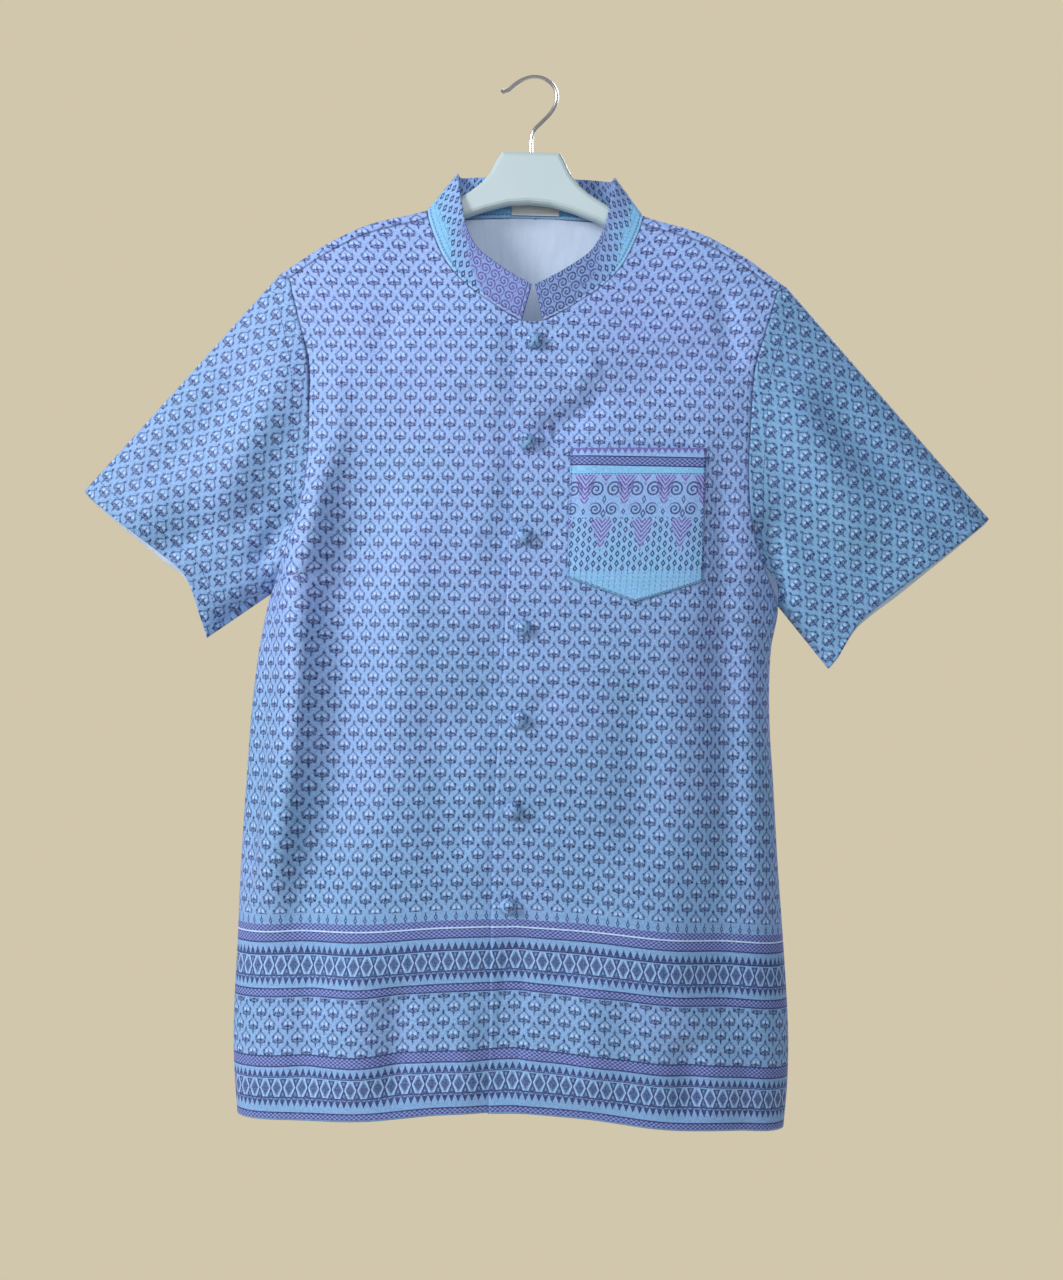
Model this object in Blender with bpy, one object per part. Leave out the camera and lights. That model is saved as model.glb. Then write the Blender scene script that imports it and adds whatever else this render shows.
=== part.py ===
"""Short-sleeved shirt with a stand collar, hanging on a plastic clothes hanger.

The frame is in metres, +Z up. The shirt's front faces -Y and +X is to the right of someone who
looks at it. The origin is the inside of the hook's crown, where a nail or a rod bears.
"Left" and "right" in the names are the sides as seen from the front.
"""
import math

import bmesh
import bpy
import numpy as np
from mathutils import Vector
from mathutils.bvhtree import BVHTree


def table(columns, *rows):
    """A short table: named columns, and a row for each section, point or fold."""
    return dict(zip(columns.split(), np.array(rows, dtype=float).T))


CLOTH = 0.0015          # thickness of a cloth wall
SEAM_HALF_GAP = 0.0002  # each piece stops this far short of a seam line
ARMPIT_EASING = 2.0     # the gap is wider by this many times at the armpit, where seams turn
ARMPIT_REACH = 0.012    # and is back to its own width a little past this far from it
LAP_STEP = 0.0030       # the under front lies this far behind the upper one
UNDER_LAP = 0.018       # how far the under front runs past the centre line
LAP_START = 0.016       # the under front starts to step back this far before the upper edge
LAP_BLEND = 0.014       # and is behind the upper one after this much more
SHIRT_SHIFT = 0.0048    # the shirt hangs this far to the right of the hook

ARMPIT_Z = -0.427
FRONT_TOP_Z = -0.2081   # the highest row of the fronts that still reaches the placket
ROLL_END = math.radians(85)  # the shoulder seam lies this far round the shoulder's roll
FRONT_FULLNESS = 2.6    # exponents of the body's cross-sections
BACK_FULLNESS = 3.2
SHOULDER_BLEND = 0.100  # drop over which a section goes from a shoulder's to a body's

# The shoulder's ridge over the hanger's arm, and the radius of the cloth's roll there.
RIDGE = table(
    "x z roll",
    (0.000, -0.0850, 0.0090),
    (0.050, -0.0955, 0.0090),
    (0.089, -0.1105, 0.0090),
    (0.1415, -0.1255, 0.0105),
    (0.172, -0.1415, 0.0120),
    (0.198, -0.1595, 0.0132),
    (0.208, -0.1665, 0.0138),
    (0.230, -0.1840, 0.0140))

# Half widths of the body's sections. Above the armpit they are those of the whole fall of
# cloth from the shoulder, which the armhole cuts into.
BODY = table(
    "z left right",
    (-0.880, 0.2200, 0.2190),
    (-0.850, 0.2250, 0.2230),
    (-0.795, 0.2293, 0.2252),
    (-0.704, 0.2280, 0.2190),
    (-0.643, 0.2267, 0.2130),
    (-0.571, 0.2240, 0.2070),
    (-0.511, 0.2208, 0.2022),
    (-0.462, 0.2150, 0.2025),
    (-0.427, 0.2070, 0.2070),
    (-0.400, 0.2095, 0.2095),
    (-0.371, 0.2130, 0.2130),
    (-0.330, 0.2200, 0.2200),
    (-0.283, 0.2310, 0.2310),
    (-0.230, 0.2500, 0.2500),
    (-0.180, 0.2900, 0.2900),
    (-0.100, 0.3900, 0.3900))

# How far the cloth stands forward and back of its roll, at each drop below the roll.
HANG = table(
    "drop front back",
    (0.000, 0.0000, 0.0000),
    (0.010, 0.0035, 0.0024),
    (0.040, 0.0130, 0.0066),
    (0.080, 0.0250, 0.0100),
    (0.115, 0.0345, 0.0120),
    (0.190, 0.0435, 0.0150),
    (0.300, 0.0495, 0.0170),
    (0.450, 0.0510, 0.0185),
    (0.600, 0.0490, 0.0185),
    (0.800, 0.0440, 0.0180))

# The hem's height, lower towards the side seams because the shoulders slope.
HEM = table(
    "x z",
    (0.000, -0.8320),
    (0.060, -0.8355),
    (0.120, -0.8420),
    (0.170, -0.8455),
    (0.210, -0.8500),
    (0.240, -0.8530))

# The armhole seam from the armpit to the shoulder seam, and the back one over the ridge.
ARMHOLE = table(
    "share x z",
    (0.00, 0.2070, -0.4270),
    (0.10, 0.1935, -0.4010),
    (0.22, 0.1820, -0.3700),
    (0.40, 0.1760, -0.3265),
    (0.58, 0.1766, -0.2830),
    (0.78, 0.1805, -0.2340),
    (0.90, 0.1890, -0.2040),
    (1.00, 0.1985, -0.1720))
ARMHOLE_RIDGE_X = 0.2080
FRONT_MID_SHARE = 0.74  # share of the armhole beside the fronts' middle rows
BACK_MID_SHARE = 0.80   # and beside the back's
BACK_TOP_SHARE = 0.985
BACK_SEAM_OUT = 0.003   # the back's armhole stands this much further out near the shoulder
FRONT_TILT = 0.25       # how far the last middle row follows the shoulder's slope, front
BACK_TILT = 0.35        # and back
RIDGE_NECK_X = 0.0885   # where the neckline crosses the shoulder's ridge

# The front neckline from the centre to the shoulder seam, and the collar's top edge
# opposite the same places, from its front end to the middle of the back.
NECKLINE = table(
    "x z",
    (0.0083, -0.2065),
    (0.0246, -0.1975),
    (0.0399, -0.1868),
    (0.0571, -0.1732),
    (0.0708, -0.1566),
    (0.0800, -0.1380),
    (0.0870, -0.1193))
BACK_NECKLINE = table(
    "x z",
    (0.0000, -0.1120),
    (0.0280, -0.1125),
    (0.0540, -0.1142),
    (0.0740, -0.1170),
    (0.0870, -0.1197))
COLLAR_TOP = table(
    "place x y z",
    (0.00, 0.0012, -0.0290, -0.1748),
    (0.08, 0.0138, -0.0272, -0.1676),
    (0.16, 0.0290, -0.0242, -0.1578),
    (0.25, 0.0458, -0.0192, -0.1437),
    (0.34, 0.0550, -0.0155, -0.1272),
    (0.42, 0.0594, -0.0118, -0.1095),
    (0.50, 0.0628, -0.0070, -0.0915),
    (0.56, 0.0646, 0.0000, -0.0795),
    (0.64, 0.0630, 0.0120, -0.0790),
    (0.80, 0.0400, 0.0205, -0.0765),
    (1.00, 0.0000, 0.0245, -0.0745))

# Where the upper front's edge runs, from the centre line, and the buttons beside it.
PLACKET_EDGE = table(
    "z x",
    (-0.850, -0.0184),
    (-0.688, -0.0206),
    (-0.616, -0.0209),
    (-0.484, -0.0168),
    (-0.414, -0.0147),
    (-0.272, -0.0135),
    (-0.208, -0.0129))
BUTTONS = table(
    "x z",
    (0.0018, -0.2238),
    (-0.0016, -0.3042),
    (-0.0028, -0.3790),
    (-0.0013, -0.4508),
    (-0.0021, -0.5227),
    (-0.0057, -0.5939),
    (-0.0069, -0.6685))
BUTTON_RADIUS = 0.0070
BUTTON_HEIGHT = 0.0062
BUTTON_BACK = 0.28      # share of a button's height that is behind its widest place
BUTTON_GAP = 0.0006

# Each cuff's open edge, from the underarm to the top fold, with its hollow's half depth.
CUFF = table(
    "share left_x left_z right_x right_z depth",
    (0.00, 0.2600, -0.4653, 0.2498, -0.4774, 0.0000),
    (0.07, 0.2628, -0.4540, 0.2540, -0.4700, 0.0085),
    (0.15, 0.2660, -0.4410, 0.2590, -0.4610, 0.0125),
    (0.27, 0.2735, -0.4195, 0.2680, -0.4430, 0.0165),
    (0.52, 0.2990, -0.3960, 0.3110, -0.4050, 0.0210),
    (0.80, 0.3370, -0.3680, 0.3500, -0.3735, 0.0165),
    (0.93, 0.3550, -0.3545, 0.3690, -0.3585, 0.0100),
    (1.00, 0.3637, -0.3474, 0.3785, -0.3510, 0.0000))
CUFF_BACK_DROP = 0.0065  # the back of a cuff hangs this much lower than its front
CUFF_LINE = (0.72, -0.70)  # the way down along a cuff's open edge (x, z)
CUFF_BACK_FLATTER = 0.85
SLEEVE_FOLD_START = 0.25  # share of a sleeve's length over which its folds fade in

# The largest folds: a soft line from one end to the other, its half width, and how far it
# stands out of the panel (less than zero for a trough).
FRONT_FOLDS = table(
    "x0 z0 x1 z1 width rise",
    (-0.150, -0.300, -0.176, -0.700, 0.024, -0.0075),
    (0.156, -0.470, 0.168, -0.740, 0.024, -0.0075),
    (0.140, -0.225, 0.030, -0.292, 0.020, -0.0035),
    (-0.112, -0.640, -0.118, -0.860, 0.045, 0.0060),
    (0.112, -0.680, 0.120, -0.860, 0.045, 0.0060),
    (0.180, -0.770, 0.188, -0.850, 0.016, -0.0050),
    (-0.032, -0.480, -0.036, -0.530, 0.020, -0.0030))
BACK_FOLDS = table(
    "x0 z0 x1 z1 width rise",
    (-0.145, -0.290, -0.160, -0.780, 0.030, -0.0060),
    (0.140, -0.330, 0.165, -0.800, 0.030, -0.0065),
    (-0.060, -0.170, -0.085, -0.860, 0.050, 0.0045),
    (0.070, -0.260, 0.078, -0.860, 0.050, 0.0045))
# Folds of a sleeve, in shares of its round and of its length.
SLEEVE_FOLDS = table(
    "round0 length0 round1 length1 width rise",
    (0.16, 0.15, 0.25, 1.00, 0.045, -0.0060),
    (0.32, 0.10, 0.36, 0.95, 0.050, 0.0050),
    (0.80, 0.10, 0.76, 0.95, 0.050, -0.0050))

# The chest pocket's outline on the right front: its top corners, sides and bottom point.
POCKET = {"left": 0.0325, "right": 0.1405, "top_left": -0.3085, "top_right": -0.3045,
          "shoulder": -0.4105, "point": -0.4280, "point_x": 0.0865}
POCKET_GAP = 0.0007
POCKET_THICKNESS = 0.0014
POCKET_COLUMNS = 10
POCKET_ROWS = 11

NECK_LABEL = {"half_width": 0.0200, "bottom": 0.06, "top": 0.52, "thickness": 0.0008,
              "gap": 0.0006}

# The hanger: its plate's outline above the arms, its arch under them, and its arms.
HANGER_SHOULDER = table(
    "x z",
    (0.0237, -0.0610),
    (0.0278, -0.0677),
    (0.0331, -0.0784),
    (0.0396, -0.0865),
    (0.0490, -0.0942),
    (0.0604, -0.1010))
HANGER_ARCH = table(
    "x z",
    (0.0000, -0.1030),
    (0.0170, -0.1044),
    (0.0350, -0.1093),
    (0.0550, -0.1165))
HANGER_ARM_STATIONS = (0.078, 0.095, 0.120, 0.145, 0.170, 0.190)
HANGER_TIP_X = 0.1975
HANGER_TIP = table(
    "out down",
    (-0.0015, -0.0002),
    (0.0015, 0.0053),
    (0.0015, 0.0113),
    (-0.0020, 0.0165))
HANGER_ARM_HEIGHT = 0.0165
HANGER_THICKNESS = 0.0120
HANGER_EDGE = 0.0040    # radius of its rounded edges
HANGER_CLEARANCE = 0.0012

# The hook's wire, from its tip round the crown to its root in the plate.
HOOK = table(
    "x z",
    (-0.0254, -0.0100),
    (-0.0240, -0.0114),
    (-0.0205, -0.0100),
    (-0.0150, -0.0052),
    (-0.0090, -0.0012),
    (0.0000, 0.0016),
    (0.0090, 0.0004),
    (0.0160, -0.0042),
    (0.0196, -0.0110),
    (0.0194, -0.0190),
    (0.0152, -0.0275),
    (0.0080, -0.0355),
    (0.0018, -0.0425),
    (0.0000, -0.0500),
    (0.0000, -0.0606))
HOOK_WIRE_RADIUS = 0.0016
HOOK_STEPS = 44

COLUMNS = 14            # faces across half a front or back
LOW_ROWS = 12           # rows of faces from the hem to the armpit
MID_ROWS = 8            # from the armpit to the neckline
ROLL_ROWS = 6           # round the shoulder's roll
SLEEVE_ROWS = 8
COLLAR_ROWS = 4


def smooth(keys, values, at):
    """A smooth curve through points, with rising keys: cubic pieces with shared slopes."""
    at = np.asarray(at, dtype=float)
    slopes = np.gradient(values, keys)
    place = np.clip(np.searchsorted(keys, at) - 1, 0, len(keys) - 2)
    span = keys[place + 1] - keys[place]
    t = np.clip((at - keys[place]) / span, 0.0, 1.0)
    rise = (2 * t**3 - 3 * t**2 + 1) * values[place] + (3 * t**2 - 2 * t**3) * values[place + 1]
    bend = (t**3 - 2 * t**2 + t) * slopes[place] + (t**3 - t**2) * slopes[place + 1]
    return rise + bend * span


def ease(t):
    """Goes smoothly from 0 to 1."""
    t = np.clip(t, 0.0, 1.0)
    return t * t * (3 - 2 * t)


def mix(start, end, share):
    return start + (end - start) * share


def ridge_z(x):
    return smooth(RIDGE["x"], RIDGE["z"], np.abs(x))


def roll_radius(x):
    return smooth(RIDGE["x"], RIDGE["roll"], np.abs(x))


def half_width(side, z):
    return smooth(BODY["z"], BODY["left" if side < 0 else "right"], z)


def fold_rise(folds, a, b):
    """How far the folds move a panel out at (a, b)."""
    total = np.zeros(np.shape(a))
    ends = list(folds.values())
    for a0, b0, a1, b1, width, rise in zip(*ends):
        along = ((a - a0) * (a1 - a0) + (b - b0) * (b1 - b0)) / ((a1 - a0) ** 2 + (b1 - b0) ** 2)
        along = np.clip(along, 0.0, 1.0)
        off = np.hypot(a - mix(a0, a1, along), b - mix(b0, b1, along))
        total = total + rise * np.exp(-(off / width) ** 2)
    return total


def cloth_depth(side, x, z, face):
    """Distance of the front or back from the hanger's plane, at a place seen from the front."""
    drop = ridge_z(x) - z
    roll = roll_radius(x)
    round_part = np.sqrt(np.clip(2 * roll * drop - drop**2, 0.0, None))
    depth = np.where(drop < roll, round_part,
                     roll + smooth(HANG["drop"], HANG[face], drop - roll))
    fullness = FRONT_FULLNESS if face == "front" else BACK_FULLNESS
    share = np.clip(np.abs(x) / half_width(side, z), 0.0, 1.0)
    closing = np.where(share > 0.9999, 0.0, np.sqrt(1.0 - share**fullness))
    folds = FRONT_FOLDS if face == "front" else BACK_FOLDS
    depth = depth + fold_rise(folds, x, z) * ease(drop / SHOULDER_BLEND)
    return depth * closing ** ease(drop / SHOULDER_BLEND)


def lap_depth(x, z):
    """How far the under front steps back to pass behind the upper one."""
    edge = smooth(PLACKET_EDGE["z"], PLACKET_EDGE["x"], z)
    return LAP_STEP * ease((x - edge + LAP_START) / LAP_BLEND)


def panel_row(side, face, inner, outer, level):
    """One row of a half panel. inner and outer are its ends (x from the centre line, z);
    level goes from 0 for a level row to 1 for one that follows the shoulder's ridge."""
    place = np.linspace(0.0, 1.0, COLUMNS + 1)
    width_in = half_width(side, inner[1])
    width_out = half_width(side, outer[1])
    angle = mix(math.asin(inner[0] / width_in), math.asin(min(1.0, outer[0] / width_out)), place)
    straight = mix(inner[1], outer[1], place)
    drop = mix(ridge_z(inner[0]) - inner[1], ridge_z(outer[0]) - outer[1], place)
    z = straight
    for _ in range(4):
        x = half_width(side, z) * np.sin(angle)
        z = mix(straight, ridge_z(x) - drop, level)
    return finish_row(side, face, x, z)


def hem_row(side, face, inner_lap, share):
    """A row between the hem (share 0) and the armpit (share 1)."""
    z = np.full(COLUMNS + 1, mix(HEM["z"][0], ARMPIT_Z, share))
    place = np.linspace(0.0, 1.0, COLUMNS + 1)
    for _ in range(4):
        width = half_width(side, z)
        start = np.arcsin(inner_lap(z[0]) / width)
        x = width * np.sin(mix(start, math.pi / 2, place))
        z = mix(smooth(HEM["x"], HEM["z"], np.abs(x)), ARMPIT_Z, share)
    return finish_row(side, face, x, z)


def finish_row(side, face, x, z):
    world_x = side * x
    depth = cloth_depth(side, world_x, z, face)
    if face == "front":
        y = -depth
        if side < 0:
            y = y + lap_depth(world_x, z)
    else:
        y = depth
    return np.stack([world_x, y, z], axis=1)


def front_panel(side):
    """A front: rows from its hem to the shoulder seam, each from the placket outwards."""
    def lap(z):
        if side > 0:
            return float(smooth(PLACKET_EDGE["z"], PLACKET_EDGE["x"], z))
        return -UNDER_LAP

    rows = [hem_row(side, "front", lap, k / LOW_ROWS) for k in range(LOW_ROWS + 1)]
    for k in range(1, MID_ROWS + 1):
        up = k / MID_ROWS
        z = mix(ARMPIT_Z, FRONT_TOP_Z, up)
        share = FRONT_MID_SHARE * up
        outer = (float(smooth(ARMHOLE["share"], ARMHOLE["x"], share)),
                 float(smooth(ARMHOLE["share"], ARMHOLE["z"], share)))
        rows.append(panel_row(side, "front", (lap(z), z), outer, FRONT_TILT * up))
    neck_rows = len(NECKLINE["x"])
    for k in range(neck_rows):
        share = mix(FRONT_MID_SHARE, 1.0, (k + 1) / neck_rows)
        inner = (NECKLINE["x"][k], NECKLINE["z"][k])
        outer = (float(smooth(ARMHOLE["share"], ARMHOLE["x"], share)),
                 float(smooth(ARMHOLE["share"], ARMHOLE["z"], share)))
        if k == neck_rows - 1:
            inner = (inner[0], seam_z(inner[0]))
            outer = (outer[0], seam_z(outer[0]))
        level = mix(FRONT_TILT, 1.0, (k + 1) / neck_rows)
        rows.append(panel_row(side, "front", inner, outer, level))
    return np.array(rows)


def seam_z(x):
    """Height of the shoulder seam, on the front of the roll."""
    return float(ridge_z(x) - roll_radius(x) * (1 - math.cos(ROLL_END)))


def back_half(side, seam):
    """Half the back: from the hem up and over the shoulder's roll to the front's seam row."""
    def centre(z):
        return 0.0

    rows = [hem_row(side, "back", centre, k / LOW_ROWS) for k in range(LOW_ROWS + 1)]
    neck_rows = len(BACK_NECKLINE["x"])
    for k in range(1, MID_ROWS + 1):
        up = k / MID_ROWS
        z = mix(ARMPIT_Z, BACK_NECKLINE["z"][0], up)
        share = BACK_MID_SHARE * up
        outer = (float(smooth(ARMHOLE["share"], ARMHOLE["x"], share)),
                 float(smooth(ARMHOLE["share"], ARMHOLE["z"], share)))
        rows.append(panel_row(side, "back", (0.0, z), outer, BACK_TILT * up))
    for k in range(1, neck_rows):
        share = mix(BACK_MID_SHARE, BACK_TOP_SHARE, k / (neck_rows - 1))
        inner = (BACK_NECKLINE["x"][k], BACK_NECKLINE["z"][k])
        outer = (float(smooth(ARMHOLE["share"], ARMHOLE["x"], share)) + BACK_SEAM_OUT,
                 float(smooth(ARMHOLE["share"], ARMHOLE["z"], share)))
        if k == neck_rows - 1:
            inner = (inner[0], float(ridge_z(inner[0]) - roll_radius(inner[0])))
            outer = (outer[0], float(ridge_z(outer[0]) - roll_radius(outer[0])))
        level = mix(BACK_TILT, 1.0, k / (neck_rows - 1))
        rows.append(panel_row(side, "back", inner, outer, level))
    start = np.abs(rows[-1][:, 0])
    end = np.abs(seam[:, 0])
    crown = np.linspace(RIDGE_NECK_X, ARMHOLE_RIDGE_X, COLUMNS + 1)
    crown[1:-1] = 0.5 * (start + end)[1:-1]
    for k in range(1, ROLL_ROWS):
        angle = mix(-math.pi / 2, ROLL_END, k / ROLL_ROWS)
        bow = math.cos(angle)
        x = mix(mix(start, end, k / ROLL_ROWS), crown, bow)
        roll = roll_radius(x)
        z = ridge_z(x) - roll * (1 - math.cos(angle))
        rows.append(np.stack([side * x, -roll * math.sin(angle), z], axis=1))
    rows.append(seam)
    return np.array(rows)


def share_along(points):
    """Share of the way along a line of points, for each of them."""
    steps = np.linalg.norm(np.diff(points, axis=0), axis=1)
    way = np.concatenate([[0.0], np.cumsum(steps)])
    return way / way[-1]


def sleeve_tube(side, front, back):
    """A sleeve: rings of points from the armhole to the cuff, each ring closed on itself."""
    front_hole = front[LOW_ROWS:, -1]
    back_hole = back[LOW_ROWS:-1, -1][::-1]
    crown = ROLL_ROWS // 2 + 1
    loop = np.concatenate([front_hole, back_hole[:-1]])
    top = len(front_hole) - 1 + (ROLL_ROWS - crown)
    up = share_along(loop[:top + 1])
    down = 1.0 - share_along(np.concatenate([loop[top:], loop[:1]]))
    half_share = np.concatenate([up, down[1:-1]])
    behind = np.arange(len(loop)) > top
    name = "left" if side < 0 else "right"
    x = smooth(CUFF["share"], CUFF[name + "_x"], half_share)
    z = smooth(CUFF["share"], CUFF[name + "_z"], half_share)
    depth = smooth(CUFF["share"], CUFF["depth"], half_share)
    drop = np.where(behind, CUFF_BACK_DROP * np.sin(math.pi * half_share) ** 0.5, 0.0)
    y = np.where(behind, CUFF_BACK_FLATTER * depth, -depth)
    cuff = np.stack([side * (x + CUFF_LINE[0] * drop), y, z + CUFF_LINE[1] * drop], axis=1)
    rings = []
    around = np.where(behind, 1.0 - 0.5 * half_share, 0.5 * half_share)
    for k in range(SLEEVE_ROWS + 1):
        share = k / SLEEVE_ROWS
        ring = mix(loop, cuff, share)
        rise = fold_rise(SLEEVE_FOLDS, around, np.full(len(loop), share))
        rise = rise * ease(share / SLEEVE_FOLD_START) * np.sin(math.pi * half_share)
        ring[:, 1] += np.where(behind, rise, -rise)
        rings.append(ring)
    return np.array(rings)


def collar_band(fronts, backs):
    """The collar: lines of points from the neck seam to its top edge, round the neck from
    the left front end to the right one."""
    halves = []
    for side in (-1, 1):
        front_neck = fronts[side][LOW_ROWS + MID_ROWS + 1:, 0]
        back_neck = backs[side][LOW_ROWS + MID_ROWS:-1, 0][::-1]
        base = np.concatenate([front_neck, back_neck])
        place = share_along(base)
        top = np.stack([smooth(COLLAR_TOP["place"], COLLAR_TOP[axis], place) for axis in "xyz"],
                       axis=1)
        top[:, 0] *= side
        halves.append((base, top))
    base = np.concatenate([halves[0][0], halves[1][0][::-1][1:]])
    top = np.concatenate([halves[0][1], halves[1][1][::-1][1:]])
    return np.array([mix(base, top, k / COLLAR_ROWS) for k in range(COLLAR_ROWS + 1)])


def face_normals(points, closed):
    """Outward sums of the face normals at each point of a grid."""
    if closed:
        points = np.concatenate([points, points[:, :1]], axis=1)
    across = points[1:, 1:] - points[:-1, :-1]
    other = points[1:, :-1] - points[:-1, 1:]
    normal = np.cross(across, other)
    total = np.zeros(points.shape)
    for rows in (slice(0, -1), slice(1, None)):
        for columns in (slice(0, -1), slice(1, None)):
            total[rows, columns] += normal
    if closed:
        total[:, 0] += total[:, -1]
        total = total[:, :-1]
    return total


def key_of(point):
    return tuple(np.round(point, 6))


def shared_normals(pieces):
    """One outward direction for each point, the same in every piece that meets there."""
    sums = {}
    for grids in pieces.values():
        for points, sign, closed in grids:
            total = sign * face_normals(points, closed)
            for point, normal in zip(points.reshape(-1, 3), total.reshape(-1, 3)):
                key = key_of(point)
                sums[key] = sums.get(key, 0.0) + normal
    return {key: total / np.linalg.norm(total) for key, total in sums.items()}


def pull_back(points, edges):
    """Moves the seamed edges of a grid back from their seam lines."""
    moved = points.copy()
    for edge in edges:
        if edge == "bottom":
            step = points[1] - points[0]
            rows = (0, slice(None))
        elif edge == "top":
            step = points[-2] - points[-1]
            rows = (-1, slice(None))
        elif edge == "start":
            step = points[:, 1] - points[:, 0]
            rows = (slice(None), 0)
        else:
            step = points[:, -2] - points[:, -1]
            rows = (slice(None), -1)
        length = np.linalg.norm(step, axis=1, keepdims=True)
        armpit_x = SHIRT_SHIFT + math.copysign(ARMHOLE["x"][0], points[..., 0].mean())
        off = np.linalg.norm(points[rows] - (armpit_x, 0.0, ARMPIT_Z), axis=1, keepdims=True)
        gap = SEAM_HALF_GAP * (1 + ARMPIT_EASING * np.exp(-(off / ARMPIT_REACH) ** 2))
        moved[rows] += gap * step / length
    return moved


def material(name, colour, roughness, metallic=0.0):
    finish = bpy.data.materials.new(name)
    finish.use_nodes = True
    shader = finish.node_tree.nodes["Principled BSDF"]
    shader.inputs["Base Color"].default_value = (*colour, 1.0)
    shader.inputs["Roughness"].default_value = roughness
    shader.inputs["Metallic"].default_value = metallic
    return finish


def add_object(name, mesh, finish, collection):
    piece = bpy.data.objects.new(name, mesh)
    collection.objects.link(piece)
    mesh.materials.append(finish)
    return piece


def grid_faces(bm, points, outward, closed=False):
    """Adds a grid to a bmesh, moves its points to their places and notes which way is out."""
    rows, columns = points.shape[:2]
    if closed:
        columns += 1
    out = bm.verts.layers.float_vector.get("out") or bm.verts.layers.float_vector.new("out")
    made = bmesh.ops.create_grid(bm, x_segments=columns - 1, y_segments=rows - 1, size=1.0)
    for vert in made["verts"]:
        column = round((vert.co.x + 1) / 2 * (columns - 1)) % points.shape[1]
        row = round((vert.co.y + 1) / 2 * (rows - 1))
        vert.co = Vector(points[row, column])
        vert[out] = Vector(outward[row, column])


def wall_mesh(name, bm, thickness):
    """Gives the open surface in a bmesh a wall on its inner side."""
    out = bm.verts.layers.float_vector["out"]
    made = bmesh.ops.extrude_face_region(bm, geom=list(bm.faces), use_keep_orig=True)
    for vert in made["geom"]:
        if isinstance(vert, bmesh.types.BMVert):
            vert.co = vert.co - vert[out] * thickness
    if bm.calc_volume(signed=True) < 0:
        bmesh.ops.reverse_faces(bm, faces=bm.faces)
    bmesh.ops.triangulate(bm, faces=bm.faces, quad_method="SHORT_EDGE")
    mesh = bpy.data.meshes.new(name)
    bm.to_mesh(mesh)
    bm.free()
    mesh.shade_smooth()
    return mesh


def cloth_piece(name, grids, normals, finish, collection):
    """Makes a panel from its grids: (points, seamed edges, closed) for each of them."""
    bm = bmesh.new()
    for points, edges, closed in grids:
        flat = points.reshape(-1, 3)
        outward = np.array([normals[key_of(point)] for point in flat]).reshape(points.shape)
        grid_faces(bm, pull_back(points, edges), outward, closed)
    bmesh.ops.remove_doubles(bm, verts=bm.verts, dist=1e-6)
    return add_object(name, wall_mesh(name, bm, CLOTH), finish, collection)


def shift_all(grid):
    """Moves a grid from the shirt's centre line to its place on the hanger."""
    return grid + np.array([SHIRT_SHIFT, 0.0, 0.0])


def surface_tree(piece):
    bm = bmesh.new()
    bm.from_mesh(piece.data)
    tree = BVHTree.FromBMesh(bm)
    bm.free()
    return tree


def on_surface(tree, x, z):
    """The front surface's point and outward direction at a place seen from the front."""
    place, normal, _, _ = tree.ray_cast(Vector((x, -0.3, z)), Vector((0, 1, 0)))
    return place, normal


def pocket_piece(tree, finish, collection):
    """The patch pocket, on the points of the front that it lies on."""
    columns, rows = POCKET_COLUMNS, POCKET_ROWS
    points = np.zeros((rows + 1, columns + 1, 3))
    outward = np.zeros(points.shape)
    for column in range(columns + 1):
        x = mix(POCKET["left"], POCKET["right"], column / columns)
        if x < POCKET["point_x"]:
            side = (x - POCKET["left"]) / (POCKET["point_x"] - POCKET["left"])
        else:
            side = (POCKET["right"] - x) / (POCKET["right"] - POCKET["point_x"])
        low = mix(POCKET["shoulder"], POCKET["point"], side)
        high = mix(POCKET["top_left"], POCKET["top_right"], column / columns)
        for row in range(rows + 1):
            z = mix(low, high, row / rows)
            place, normal = on_surface(tree, x + SHIRT_SHIFT, z)
            outward[row, column] = normal
            points[row, column] = place
    bm = bmesh.new()
    grid_faces(bm, points + outward * (POCKET_GAP + POCKET_THICKNESS), outward)
    add_object("pocket", wall_mesh("pocket", bm, POCKET_THICKNESS), finish, collection)


def button_pieces(tree, finish, collection):
    """The cloth-covered buttons: domes with a flat back, upright on the placket."""
    for number, (x, z) in enumerate(zip(BUTTONS["x"], BUTTONS["z"]), start=1):
        place, normal = on_surface(tree, x + SHIRT_SHIFT, z)
        bm = bmesh.new()
        bmesh.ops.create_uvsphere(bm, u_segments=14, v_segments=6, radius=BUTTON_RADIUS)
        for vert in bm.verts:
            height = vert.co.z / BUTTON_RADIUS
            dome = BUTTON_BACK + (1 - BUTTON_BACK) * height
            rim = BUTTON_BACK * (1 + height)
            vert.co.z = BUTTON_HEIGHT * (dome if height > 0 else rim)
        turn = normal.to_track_quat("Z", "Y").to_matrix()
        bmesh.ops.rotate(bm, cent=(0, 0, 0), matrix=turn, verts=bm.verts)
        bmesh.ops.translate(bm, vec=place + normal * BUTTON_GAP, verts=bm.verts)
        mesh = bpy.data.meshes.new(f"button_{number}")
        bm.to_mesh(mesh)
        bm.free()
        mesh.shade_smooth()
        add_object(f"button_{number}", mesh, finish, collection)


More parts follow.
